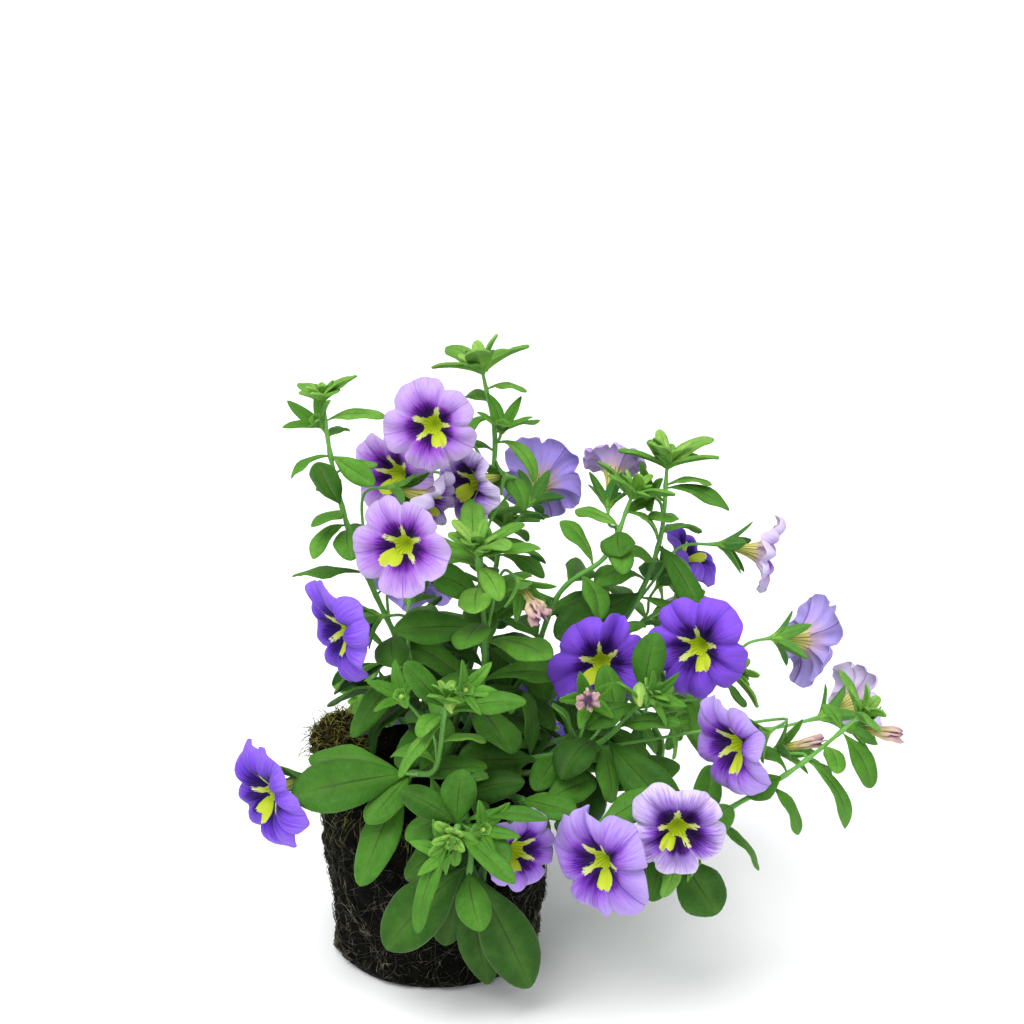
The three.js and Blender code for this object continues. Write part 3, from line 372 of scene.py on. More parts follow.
def grow_leaves(stem):
    """Leaves in a spiral up the stem, each turned, drooped or shortened until it is clear."""
    count, longest, shortest, bearing = stem["leaves"]
    for k in range(count):
        share = k / (count - 1)
        t = LEAVES_FROM + (LEAVES_TO - LEAVES_FROM) * share
        length = (longest + (shortest - longest) * share) * (1 + 0.2 * spread(k, bearing))
        base, ahead = along(stem["points"], t), heading(stem["points"], t)
        side, up = across(ahead)
        guide = ahead * 0.4 + UP * 0.7
        for size, turn, droop in product(LEAF_SIZES, LEAF_TURNS, LEAF_DROOPS):
            a = math.radians(bearing + SPIRAL * k + turn)
            lean = math.radians(LEAF_LEAN + 20 * spread(k, 5) - droop / 2)
            bend = LEAF_BEND + 40 * spread(k, 3 + bearing) + droop
            out = side * math.cos(a) + up * math.sin(a)
            way = unit(out * math.cos(lean) + ahead * math.sin(lean))
            leaf = leaf_from(base, way, guide, length * size, length * size * LEAF_SLIM, bend)
            points = blade_samples(leaf)
            if is_clear(stem["name"], points, sample_radius(leaf)):
                keep(stem["name"], points, sample_radius(leaf), "leaf")
                stem["blades"].append(leaf | dict(kind="leaf", youth=0.15 + 0.6 * share))
                break


def grow_crown(stem):
    """The tuft round a shoot's tip: a spreading star of leaves and a smaller, steeper one in it."""
    if stem["crown"] == 0:
        return
    axis = heading(stem["points"], 1)
    for row, (count, tilt, share, rise) in enumerate(CROWN_TIERS):
        centre, leaves = along(stem["points"], 1) + axis * rise, []
        for k in range(count):
            for size in TUFT_SIZES:
                bearing = stem["leaves"][3] + 360 / count * (k + 0.3 * spread(k, stem["crown"])) + 30 * row
                length = stem["crown"] * share * (1 + 0.3 * spread(k, 2 + stem["crown"])) * size
                leaf = tongue(centre, axis, bearing, tilt + 16 * spread(k, 7), length,
                              length * CROWN_SLIM, CROWN_BEND)
                if is_clear(stem["name"], blade_samples(leaf), sample_radius(leaf)):
                    leaves.append(leaf | dict(kind="crown", youth=0.8 + 0.2 * row))
                    break
        if len(leaves) < 3:
            return
        for leaf in leaves:
            keep(stem["name"], blade_samples(leaf), sample_radius(leaf), "tuft")
        stem["blades"] += leaves


def seat_of(mouth, faces, stem, share):
    """What a flower stands on: its calyx's foot, its axis and its stalk, which leaves the stem along it
    and comes to the foot along the axis."""
    axis = looking(faces)
    foot = mouth - axis * TUBE_LENGTH
    start = along(stem["points"], share)
    gap = np.linalg.norm(foot - start)
    rise = start + heading(stem["points"], share) * 0.3 * gap + axis * 0.05 * gap
    bend = foot - axis * 0.35 * gap
    stalk = [start, rise * 0.6 + bend * 0.25 + start * 0.15, rise * 0.2 + bend * 0.65 + foot * 0.15, foot]
    return dict(mouth=mouth, axis=axis, foot=foot, stalk=np.array(stalk))


def hoop(bloom, r, z, count):
    """A ring of places round a flower's axis."""
    return round_axis(bloom["foot"], bloom["axis"], even_turn(count) + math.radians(bloom["roll"]), r, z)


stems = {}
for name, foot, route, leaves, crown in STEMS:
    points = np.array([(*foot, BALL_HEIGHT + STEM_RISE), *route], float)
    stems[name] = dict(name=name, foot=foot, points=points, leaves=leaves, crown=crown,
                       blades=[], stalks=[], calyces=[], buds=[])
    keep(name, along(points, np.arange(50) / 49), STEM_FOOT_R + STEM_ROOM, "stem")

moss_ring = even_turn(12)
moss_out = np.stack((MOSS_WIDE * np.cos(moss_ring), MOSS_LONG * np.sin(moss_ring), 0 * moss_ring), 1)
moss_foot = np.array((*MOSS_AT, BALL_HEIGHT), float)
keep("moss", np.vstack((moss_foot + moss_out * 0.95 + UP * 3,
                        moss_foot + moss_out * 0.6 + UP * 0.8 * MOSS_HEIGHT)), MOSS_ROOM, "moss")

blooms = []
for kind, rows in BLOOMS.items():
    for number, (stem_name, share, mouth, faces, *looks) in enumerate(rows, 1):
        across_it, roll, shade = looks or (0, 0, "")
        stem = stems[stem_name]
        bloom = seat_of(np.array(mouth, float), faces, stem, share) | dict(
            kind=kind, number=number, name=f"{kind}_{number:02d}", across=across_it, roll=roll, shade=shade)
        stem["stalks"].append(bloom["stalk"])
        keep(stem_name, along(bloom["stalk"], np.arange(16) / 15), STALK_R + STALK_ROOM, "stem")
        if kind == "bud":
            stem["buds"].append(bloom)
            keep(stem_name, bloom["foot"] + np.outer((3, 7), bloom["axis"]), BUD_ROOM, "bloom")
            continue
        sepals = [tongue(bloom["foot"], bloom["axis"], roll + FIFTH * i, SEPAL_LIFT, SEPAL_LENGTH,
                         SEPAL_WIDTH, SEPAL_BEND) | dict(kind="sepal", youth=SEPAL_YOUTH)
                  for i in range(LOBES)]
        stem["blades"] += sepals
        stem["calyces"].append(bloom)
        keep(stem_name, np.vstack([blade_samples(s) for s in sepals]), sample_radius(sepals[0]) + SEPAL_ROOM,
             "bloom")
        if kind == "calyx":
            continue
        blooms.append(bloom)
        reach = across_it / 2 if kind == "flower" else 3
        rims = [hoop(bloom, reach * size, TUBE_LENGTH, n) for size, n in ((0.95, 20), (0.68, 14), (0.4, 8))]
        waists = [hoop(bloom, r, z, n) for r, z, n in ((1, 8, 3), (1.6, 12, 4), (3, 17, 5))]
        keep(bloom["name"], np.vstack(rims), LIMB_ROOM, "bloom")
        keep(bloom["name"], np.vstack(waists), TUBE_ROOM, "bloom")

for stem_name, rows in SHOW_LEAVES.items():
    stem = stems[stem_name]
    for share, tip, looks, width, bend, *fresh_and_lit in rows:
        leaf = leaf_to(along(stem["points"], share), np.array(tip, float), looking(looks), width, bend)
        keep(stem_name, blade_samples(leaf), sample_radius(leaf), "leaf")
        youth = (0.9 - 0.045 * width if width > 9 else 0.75) + sum(fresh_and_lit)
        stem["blades"].append(leaf | dict(kind="leaf", youth=youth))
for stem in stems.values():
    grow_crown(stem)
for stem in stems.values():
    grow_leaves(stem)


# ---------------------------------------------------------------- mesh making
class Skin:
    """Grids of places gathered into one mesh. Every corner has a UV for the pattern, every face the slot of
    its material, and every place its youth, from 0 to 1."""

    def __init__(self):
        self.points, self.faces, self.uvs, self.slots, self.youth, self.count = [], [], [], [], [], 0

    def add(self, places, uv=None, slot=0, youth=0.5):
        """places: (..., rows, columns, 3). Quads run between rows and round the columns, which close, and
        one face shuts the first row and one the last. They face outwards where the columns run
        counterclockwise about the way the rows go. uv: (..., rows, columns + 1, 2), or else u runs from 0 to
        1 round the columns and v from 0 to 1 along the rows."""
        rows, columns = places.shape[-3:-1]
        places = places.reshape(-1, rows, columns, 3)
        batch = len(places)
        if uv is None:
            uv = np.stack(np.meshgrid(np.arange(columns + 1) / columns, np.linspace(0, 1, rows)), -1)
        uv = np.broadcast_to(uv, (batch, rows, columns + 1, 2))
        first = self.count + np.arange(batch)[:, None, None] * rows * columns
        i, j = np.arange(rows - 1)[:, None] * columns, np.arange(columns)
        after = (j + 1) % columns
        quads = np.stack(np.broadcast_arrays(i + j, i + after, i + columns + after, i + columns + j), -1)
        self.faces.append((first[..., None] + quads).reshape(-1, 4))
        corners = np.stack((uv[:, :-1, :-1], uv[:, :-1, 1:], uv[:, 1:, 1:], uv[:, 1:, :-1]), 3)
        self.uvs.append(corners.reshape(-1, 2))
        wears = np.broadcast_to(slot, (batch, rows - 1, columns))
        self.slots.append(wears.reshape(-1))
        for row, order in ((0, -1), (-1, 1)):
            self.faces.append((first[:, 0] + row % rows * columns + j)[:, ::order])
            self.uvs.append(uv[:, row, :-1][:, ::order].reshape(-1, 2))
            self.slots.append(wears[:, row, 0])
        self.points.append(places.reshape(-1, 3))
        self.youth.append(np.broadcast_to(youth, (batch, rows, columns)).reshape(-1))
        self.count += batch * rows * columns

    def add_faces(self, places, faces):
        """Many small shapes of a kind: places (shapes, n, 3) and the faces of one of them."""
        shapes, n = places.shape[:2]
        faces = np.asarray(faces)
        first = self.count + np.arange(shapes)[:, None, None] * n
        self.faces.append((first + faces).reshape(-1, faces.shape[1]))
        self.uvs.append(np.zeros((shapes * faces.size, 2)))
        self.slots.append(np.zeros(shapes * len(faces)))
        self.points.append(places.reshape(-1, 3))
        self.youth.append(np.full(shapes * n, 0.5))
        self.count += shapes * n

    def piece(self, name, materials, slot, nodes=()):
        """The gathered mesh, turned to metres, as one object that rides on the part and stands for CAD
        nodes. slot is not used."""
        me = bpy.data.meshes.new(name)
        me.vertices.add(self.count)
        me.vertices.foreach_set("co", (np.concatenate(self.points) * MM).astype(np.float32).ravel())
        sizes = np.concatenate([np.full(len(f), f.shape[1]) for f in self.faces])
        corners = np.concatenate([f.ravel() for f in self.faces])
        me.loops.add(len(corners))
        me.loops.foreach_set("vertex_index", corners.astype(np.int32))
        me.polygons.add(len(sizes))
        me.polygons.foreach_set("loop_start", (np.cumsum(sizes) - sizes).astype(np.int32))
        me.polygons.foreach_set("material_index", np.concatenate(self.slots).astype(np.int32))
        me.polygons.foreach_set("use_smooth", np.ones(len(sizes), bool))
        me.uv_layers.new(name="pattern").data.foreach_set(
            "uv", np.concatenate(self.uvs).astype(np.float32).ravel())
        me.attributes.new("youth", "FLOAT", "POINT").data.foreach_set(
            "value", np.concatenate(self.youth).astype(np.float32))
        me.update(calc_edges=True)
        me.validate()
        for material in materials:
            me.materials.append(material)
        piece = bpy.data.objects.new(name, me)
        bpy.context.scene.collection.objects.link(piece)
        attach(piece, "root")
        if nodes:
            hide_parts(*nodes)


def lattice(corner, seed):
    """A fixed number from 0 to 1 for every corner of a whole-number lattice: its bits, mixed twice."""
    h = corner @ np.array((374761393, 668265263, 2147483647)) + seed * 974711 & 0xFFFFFFFF
    h = (h ^ h >> 13) * 1274126177 & 0xFFFFFFFF
    return ((h ^ h >> 16) & 0xFFFF) / 65535


def lumps(places, size, seed):
    """Smooth noise from -1 to 1: lattice numbers, size apart, blended by 3u^2 - 2u^3 along each axis."""
    q = places / size
    corner = np.floor(q).astype(np.int64)
    f = q - corner
    f = f * f * (3 - 2 * f)
    total = 0
    for step in np.ndindex(2, 2, 2):
        weight = np.where(np.array(step), f, 1 - f).prod(-1)
        total = total + weight * lattice(corner + np.array(step), seed)
    return 2 * total - 1


def layered_lumps(places, layers):
    """Lumps of several sizes together. layers: height, size and seed of each."""
    return sum(height * lumps(places, size, seed) for height, size, seed in layers)


def ring_of(side, up, count):
    """Unit vectors evenly round a circle, from its side towards its up."""
    a = even_turn(count)
    return np.cos(a)[:, None] * side[..., None, :] + np.sin(a)[:, None] * up[..., None, :]


def hoops(path, radius, sides, start=None):
    """A round skin carried along a path (..., steps, 3): at every step a ring of the radius, square to
    the path, set out from one side that leans on the start direction all the way."""
    ahead = unit(np.gradient(path, axis=-2))
    guide = across(ahead[..., :1, :])[0] if start is None else start
    side = unit(guide - ahead * (guide * ahead).sum(-1, keepdims=True))
    rings = ring_of(side, np.cross(ahead, side), sides)
    return path[..., None, :] + rings * np.asarray(radius)[..., None, None]


# ---------------------------------------------------------------- leaves and sepals
def spoon(s):
    """Half width of a leaf: a quarter sine to the 1.4 from its slim foot, then a blunt tip."""
    foot = np.sin(np.pi / 2 * np.clip(s / 0.61, 0, 1))**1.4
    return foot * (1 - np.clip((s - 0.61) / 0.39, 0, 1)**2)**0.58


def lance(s):
    """Half width of a sepal: half of it at the foot, widest at 0.42, drawn in to a blunt point."""
    foot = 0.5 + 0.5 * np.sin(np.pi / 2 * np.clip(s / 0.42, 0, 1))
    return foot * (1 - np.clip((s - 0.42) / 0.58, 0, 1)**1.7)**0.72


def paddle(s):
    """Half width of a young leaf: two fifths of it at the foot, widest at 0.62, round at the tip."""
    foot = 0.4 + 0.6 * np.sin(np.pi / 2 * np.clip(s / 0.62, 0, 1))
    return foot * np.sqrt(1 - np.clip((s - 0.62) / 0.38, 0, 1)**2.3)


# how each kind of blade is made: the law of its width, its fold in degrees, the curl of its edges, its
# thickness in mm, its wave, its twist in degrees, its rows along and its places from midrib to edge
BLADES = {
    "leaf": dict(law=spoon, fold=23, curl=0.4, thick=0.55, wave=0.13, twist=20, rows=15,
                 wide=(0.08, 0.3, 0.56, 0.8, 0.95, 1)),
    "crown": dict(law=paddle, fold=20, curl=0.36, thick=1.2, wave=0.06, twist=16, rows=11,
                  wide=(0.1, 0.4, 0.72, 0.93, 1)),
    "sepal": dict(law=lance, fold=20, curl=0.16, thick=0.8, wave=0.06, twist=16, rows=11,
                  wide=(0.14, 0.5, 0.9, 1)),
}
BLADE_LUMPS = [(0.6, 8, 7), (0.14, 3.5, 8)]  # height, size, seed
# depth of the groove over the midrib and of the keel under it in mm, width as a share of the half width
GROOVE_DEPTH, GROOVE_WIDE, KEEL_DEPTH, KEEL_WIDE = 0.3, 0.09, 0.45, 0.16


def blade_skins(leaves, kind):
    """Closed blades. Across each one, the upper side rises from the groove over its midrib to its edges as
    sqrt(w^2 + c) less a curl of w^4, with a wave that grows as w^2 and lumps at 8 and 3.5 mm. The under side
    lies one thickness lower, which thins as sqrt(1 - w^2), and bulges in a keel under the midrib. Returns the
    places, their UV, which columns are the under side, the youth, and the frames that down grows on."""
    how, n = BLADES[kind], len(leaves)
    leaf = {k: np.array([one[k] for one in leaves])[:, None] for k in
            ("base", "ahead", "upper", "right", "length", "width", "bend", "youth")}
    t = np.linspace(0.03, 0.97, how["rows"])
    s = np.broadcast_to((1 - np.cos(np.pi * t)) / 2, (n, how["rows"]))
    mid, upper = blade(leaf, s)
    half = leaf["width"] / 2 * how["law"](s)
    roll = np.radians(how["twist"]) * chance.uniform(-1, 1, (n, 1)) * s
    bow = leaf["length"] * 0.045 * chance.uniform(-1, 1, (n, 1)) * 4 * s * (1 - s)
    right = leaf["right"] * np.cos(roll)[..., None] + upper * np.sin(roll)[..., None]
    upper = upper * np.cos(roll)[..., None] - leaf["right"] * np.sin(roll)[..., None]
    mid = (mid + right * bow[..., None])[:, :, None]
    w = np.array(how["wide"])
    w = np.concatenate((w[::-1], [0.0], -w))
    h, fold = half[..., None], np.radians(how["fold"] * chance.uniform(0.5, 1.5, (n, 1, 1)))
    phase = chance.uniform(0, 6.3, (n, 1, 1))
    wave = how["wave"] * np.sin(phase + 11 * s[..., None] + 1.7 * np.sign(w)) * w**2
    top = h * (np.sin(fold) * (np.sqrt(w**2 + 0.02) - 0.141) - how["curl"] * w**4 + wave)
    top = top - GROOVE_DEPTH * np.exp(-(w / GROOVE_WIDE)**2) * np.sin(np.pi * s[..., None])
    thick = how["thick"] * (0.35 + 0.65 * np.sqrt(1 - w**2)) * np.minimum(1, 0.45 + h / 4)
    keel = KEEL_DEPTH * np.exp(-(w / KEEL_WIDE)**2) * (1 - s[..., None])
    reach = mid + right[:, :, None] * (h * np.cos(fold) * w)[..., None]
    top = top + layered_lumps(reach, BLADE_LUMPS) * np.minimum(h / 8, 1)
    above = reach + upper[:, :, None] * (top + thick / 2)[..., None]
    below = reach + upper[:, :, None] * (top - thick / 2 - keel)[..., None]
    below[:, :, [0, -1]] = (below[:, :, [0, -1]] + above[:, :, [0, -1]]) / 2
    loop = np.concatenate((below, above[:, :, -2:0:-1]), 2)
    u = (1 - np.concatenate((w, w[-2:0:-1], w[:1]))) / 2
    uv = np.stack(np.broadcast_arrays(u, s[..., None]), -1)
    under = np.arange(loop.shape[2]) < len(w) - 1
    return loop, uv, under, leaf["youth"][..., None], (mid[:, :, 0], right, upper, half, fold[:, 0])


# ---------------------------------------------------------------- stems, stalks, calyx cups and buds
STEM_STEPS = 12  # for each span of a stem's route
STEM_SLIMMER, STEM_LIMIT = 0.3, 0.35  # under the rule's radius, and the most over its foot's
NODE_SWELL, NODE_REACH = 0.22, 2.2  # where a leaf leaves the stem


def stem_path(stem):
    """The peg in the peat, then the stem's curve, in even steps."""
    points = stem["points"]
    line = along(points, np.linspace(0, 1, STEM_STEPS * (len(points) - 1) + 1))
    foot = np.array((*stem["foot"], PEG_FOOT), float)
    return np.vstack((foot, (foot + line[0]) / 2, line))


def stem_radius(stem, path):
    """From the foot's radius down to the tip's, with a bell-shaped swelling at every leaf."""
    share = np.linspace(0, 1, len(path))
    radius = STEM_FOOT_R + (STEM_TIP_R - STEM_FOOT_R) * share - STEM_SLIMMER
    for leaf in stem["blades"]:
        if leaf["kind"] == "leaf":
            away = np.linalg.norm(path - leaf["base"], axis=1)
            radius = radius + NODE_SWELL * np.exp(-(away / NODE_REACH)**2)
    return np.minimum(radius, STEM_FOOT_R + STEM_LIMIT)


def turned(seat, profile, columns, ribs=0, depth=0.0, roll=0):
    """A profile (distance along the axis, radius) turned round it, its radius waved by depth in ribs."""
    z, r = np.array(profile, float).T[..., None]
    a = even_turn(columns)
    wave = 1 + depth * np.cos(ribs * (a - math.radians(roll)))
    return round_axis(seat["foot"], seat["axis"], a, r * wave, z)


# profiles: distance along the axis and radius, mm
CUP = [(-0.9, 0.6), (-0.2, 1.15), (0.8, 1.75), (2.2, 2.25), (3.8, 2.5), (5, 2.75), (4.9, 2.4), (3, 1.8),
       (1.2, 0.7)]
OVARY = [(0.4, 0.6), (1, 1.2), (2.1, 1.35), (3.1, 0.95), (3.6, 0.3)]
BUD = [(-0.7, 0.5), (0, 1.5), (1.2, 2.3), (2.6, 2.75), (4.2, 2.8), (5.8, 2.45), (7.3, 1.7), (8.6, 0.8),
       (9.4, 0.2)]


# ---------------------------------------------------------------- corollas
# flowers whose topmost lobe folds over the throat as a hood, and how far it leans, mm
HOODS = {"flower_10": 7, "flower_12": 6, "flower_14": 7.5}
# the tube outside and the throat inside: height from the mouth and radius, mm
TUBE = [(TUBE_SEAT - TUBE_LENGTH, TUBE_FOOT_R), (-17, 1.25), (-14, 1.6), (-11, WAIST_R), (-8.4, 2.7),
        (-6.6, 3.4), (-5.5, 3.95)]
THROAT = [(-4.7, 3.55), (-5.5, 3.25), (-6.5, 2.8), (-7.5, 2.2), (-8.3, 1.4), (-8.7, 0.5)]
# stations out over the limb, as shares of the way from the mouth to its edge
LIMB = np.array((0.05, 0.12, 0.2, 0.29, 0.39, 0.5, 0.61, 0.72, 0.82, 0.9, 0.96, 0.99))
LIMB_THICK, EDGE_THICK, PETAL_COLUMNS = 0.45, 0.2, 100
FACE, BACK, OUTSIDE = range(3)  # slots of a flower's materials


def lobes_of(bloom):
    """A flower's lobes, at every angle round it. x is the place in a lobe, 0 at its middle and 1 at its
    notch; two slow sines make the lobes uneven. The lobes' own sizes, lifts and so on are each blended into
    the neighbour's towards the notch. The topmost lobe leans forwards, or stands as a pinched hood."""
    theta = 360 * np.arange(PETAL_COLUMNS + 1) / PETAL_COLUMNS
    sway = chance.uniform(0, 360, 2)
    warped = theta + 6 * np.sin(np.radians(theta + sway[0])) + 3.5 * np.sin(np.radians(2 * theta + sway[1]))
    turn = warped[:-1] / FIFTH + 0.5
    lobe, x = np.floor(turn).astype(int), np.abs(turn % 1 - 0.5) * 2
    blend = np.clip(x, 0, 1)**3 / 2
    other = np.where(turn % 1 < 0.5, lobe - 1, lobe + 1) % LOBES
    phase = chance.uniform(0, 6.3, 4)
    topmost = np.argmin(np.abs((FIFTH * np.arange(LOBES) + bloom["roll"]) % 360 - 270))
    hood = HOODS.get(bloom["name"], 0)
    own = dict(size=1 + 0.075 * chance.uniform(-1, 1, LOBES),
               lift=np.array([1.6 * spread(i, bloom["roll"]) for i in range(LOBES)]),
               lean=chance.uniform(-2.8, 2.8, LOBES))
    own["lean"][topmost] = hood if hood else own["lean"][topmost] + chance.uniform(0.5, 4)
    own["pinch"] = np.where(np.arange(LOBES) == topmost, hood / 7, 0.1 * chance.uniform(0, 1, LOBES))
    own["rolled"], own["swollen"] = chance.uniform(0.3, 3.6, LOBES), chance.uniform(1.0, 2.4, LOBES)
    form = {key: each[lobe % LOBES] * (1 - blend) + each[other] * blend for key, each in own.items()}
    # a hood's own sector is narrower towards its edge, by a smooth pull on the angles round its middle
    from_hood = (theta[:-1] - theta[np.argmin(np.abs(warped[:-1] - FIFTH * topmost))] + 180) % 360 - 180
    pull = -np.radians(1.8 * hood) * (from_hood / 36) * np.exp(0.5 - (from_hood / 36)**2 / 2)
    return form | dict(theta=theta[:-1], warped=warped, x=x, phase=phase, pull=pull)


def limb(form, edge, q):
    """The limb's radius and height from the mouth, at stations q from the mouth (0) to the edge (1). The
    edge's radius is that of five broad lobes, 1 - 0.09 x^2 - 0.15 x^8, ruffled by sines. The face rises from
    the throat as -4.2 (1 - q)^2.6. Each lobe swells on both sides of its creased midvein as
    sin(pi x) sin(pi q), falls away at its notches, tilts by its own share of q^2 and rolls back at its edge.
    The star's five arms are low ridges between dark hollows."""
    x, a, phase = form["x"], np.radians(form["theta"]), form["phase"]
    rim = 1 - 0.09 * x**2 - 0.15 * x**8 - 0.02 * np.exp(-(x / 0.14)**2)
    rim = edge * form["size"] * (rim + 0.009 * np.sin(13 * a + phase[0]) + 0.006 * np.sin(23 * a + phase[1]))
    lift = form["lift"] - 1.1 * np.cos(LOBES * np.radians(form["warped"][:-1]))
    funnel = -4.2 * (1 - q)**2.6 + lift * q**1.8 + form["lean"] * q**2
    swell = form["swollen"] * np.sin(np.pi * q**0.9) * (0.15 + 1.5 * np.sin(np.pi * x))
    hollow = -1.0 * np.exp(-((q - 0.2) / 0.16)**2) * (1 - x**2)
    ridge = 0.5 * np.exp(-((1 - x) / 0.16)**2) * np.clip(1 - q / 0.5, 0, 1)
    seam = -1.8 * np.exp(-((1 - x) / 0.085)**2) * np.clip((q - 0.46) / 0.4, 0, 1)
    crease = -0.65 * np.exp(-(x / 0.09)**2) * np.sin(np.pi * q**0.8)
    crease = crease - 4.5 * form["pinch"] * (1 - x)**1.3 * q**1.3
    ruffle = q**3 * (0.6 * np.sin(11 * a + phase[1]) + 0.3 * np.sin(19 * a + phase[2])
                     + 0.9 * np.sin(7 * a + phase[3]))
    back = -form["rolled"] * np.clip((q - 0.7) / 0.3, 0, 1)**2
    return MOUTH_R + (rim - MOUTH_R) * q, funnel + swell + hollow + ridge + seam + crease + ruffle + back


def corolla(bloom):
    """One closed skin carried up the tube's outside, out along the limb's back, round its edge, in along
    its face and down the throat. Returns the places, their UV and their slots. u counts lobes from the
    lowest notch, five on for each flower; v is 0 to 1 over the limb and below 0 in the tube."""
    form = lobes_of(bloom)
    q = np.concatenate((LIMB, [1.0], LIMB[::-1]))[:, None]
    r, z = limb(form, bloom["across"] / 2, q)
    wall = np.concatenate((np.full(len(LIMB), -LIMB_THICK), [-EDGE_THICK], np.zeros(len(LIMB))))[:, None]
    behind = wall < -EDGE_THICK
    r = r + 0.7 * np.exp(-q / 0.12) * behind
    z = z + wall - 0.5 * np.exp(-q / 0.1) * behind
    ribs = 1 + 0.06 * np.cos(np.radians(2 * LOBES * form["theta"]))
    tube_z, tube_r = np.array(TUBE).T[..., None]
    throat_z, throat_r = np.array(THROAT).T[..., None]
    radius = np.concatenate((tube_r * ribs, r, throat_r * (ribs * 0.5 + 0.5)))
    height = np.concatenate((tube_z + 0 * ribs, z, throat_z + 0 * ribs))
    pulled = np.concatenate((np.zeros(len(TUBE)), q[:, 0], np.zeros(len(THROAT))))[:, None] * form["pull"]
    turn = np.radians(form["theta"]) + pulled + math.radians(bloom["roll"])
    places = round_axis(bloom["mouth"], bloom["axis"], turn, radius, height)
    notches = (FIFTH * np.arange(LOBES) - FIFTH / 2 + bloom["roll"]) % 360
    lowest = np.argmin(np.abs(notches - 90)) * FIFTH - FIFTH / 2
    u = (form["warped"] - lowest) / FIFTH + LOBES * bloom["number"]
    v = np.concatenate((tube_z[:, 0] / TUBE_LENGTH, q[:, 0], -np.linspace(0.06, 1, len(THROAT))))
    slots = np.repeat((OUTSIDE, BACK, FACE), (len(TUBE), len(LIMB), len(LIMB) + len(THROAT)))[:, None]
    return places, np.stack(np.broadcast_arrays(u, v[:, None]), -1), slots


# withered flowers that closed to slim spindles, and their limb's width as a share of the others'
SPINDLES = {"spent_03": 0.55, "spent_04": 0.66}
WITHERED_ROWS, WITHERED_COLUMNS, WITHERED_LENGTH = 36, 60, 20


def withered(bloom):
    """A spent flower: its round tube, then the limb, shrunk to a twist whose section is pinched into
    sharp folds, |sin| of the angle, that turn and deepen along the path, and that ends in ragged tips.
    Returns the places and how far each stands out on its fold, from 0 to 1."""
    t, columns = np.linspace(0, 1, WITHERED_ROWS), WITHERED_COLUMNS
    side, up = across(bloom["axis"])
    sway = chance.uniform(-1, 1, 2)
    path = (bloom["foot"] + np.outer(TUBE_SEAT + (WITHERED_LENGTH - TUBE_SEAT) * t, bloom["axis"])
            + np.outer(2.2 * sway[0] * t**2, side) + np.outer(1.4 * sway[1] * t**2 - 1.0 * t**3, up))
    slim = SPINDLES.get(bloom["name"], 1)
    radius = np.interp(t, (0, 0.2, 0.4, 0.52, 0.72, 0.92, 1),
                       (0.6, 1.4, 1.85, 1.7, 3.5 * slim, 4 * slim, 2.8 * slim))
    rings, a = hoops(path, radius, columns), even_turn(columns)
    late = np.clip((t[:, None] - 0.42) / 0.35, 0, 1)
    fold = (np.abs(np.sin(3 * a + 3 * t[:, None] + sway[0]))
            + 0.5 * np.abs(np.sin(5.5 * a - 4 * t[:, None] + sway[1])))
    share = np.clip(fold / 1.4 + 0.6 * slim * lumps(rings, 2.2, 5), 0, 1)
    rings = path[:, None] + (rings - path[:, None]) * (1 + late * (share - 0.7) * 1.1)[..., None]
    ragged = late**2 * (1.2 * np.sin(4 * a + 6.3 * sway[0]) + 0.9 * np.sin(7 * a + 2) + 1.2 * (share - 0.5))
    return rings + ragged[..., None] * bloom["axis"], share * late + 0.6 * (1 - late)


# ---------------------------------------------------------------- finishes
EASED = dict(interpolation_type="SMOOTHSTEP")  # how a MapRange node makes a soft step


def linear(shade):
    """An sRGB hex colour as the linear numbers that sockets take."""
    c = np.array([int(shade[i:i + 2], 16) for i in (1, 3, 5)]) / 255
    return (*np.where(c <= 0.04045, c / 12.92, ((c + 0.055) / 1.055)**2.4), 1.0)


def add_node(tree, kind, *inputs, out=0, stops=(), **settings):
    """Adds one node: its settings, its sockets' values or links, given in order or in a dict, and a ramp's
    (place, colour) stops. Returns the output asked for."""
    node = tree.nodes.new("ShaderNode" + kind)
    for key, value in settings.items():
        setattr(node, key, value)
    for at, given in enumerate(inputs):
        for key, value in (given if isinstance(given, dict) else {at: given}).items():
            if isinstance(value, bpy.types.NodeSocket):
                tree.links.new(value, node.inputs[key])
            else:
                node.inputs[key].default_value = linear(value) if isinstance(value, str) else value
    for k, (place, shade) in enumerate(stops):
        ramp = node.color_ramp.elements
        stop = ramp[k] if k < len(ramp) else ramp.new(place)
        stop.position, stop.color = place, linear(shade)
    return node.outputs[out] if len(node.outputs) else node


def started(name):
    """An empty material, and the function that adds a node to it."""
    material = bpy.data.materials.new(name)
    material.use_nodes = True
    material.node_tree.nodes.clear()
    return material, partial(add_node, material.node_tree)


def finished(add, colour, roughness, relief=(), **more):
    """The surface shader and the output, from its sockets' values or links. relief is what a bump is made
    of: a height, how much of it counts and its depth in metres."""
    sockets = {"Base Color": colour, "Roughness": roughness}
    if relief:
        sockets["Normal"] = add("Bump", dict(zip(("Height", "Strength", "Distance"), relief)))
    sockets |= {key.replace("_", " "): value for key, value in more.items()}
    add("OutputMaterial", {"Surface": add("BsdfPrincipled", sockets)})


def pattern_of(add):
    """The piece's own pattern coordinates: as a vector, round it (u) and along it (v)."""
    both = add("UVMap", uv_map="pattern")
    u = add("SeparateXYZ", both)
    return both, u, u.node.outputs[1]


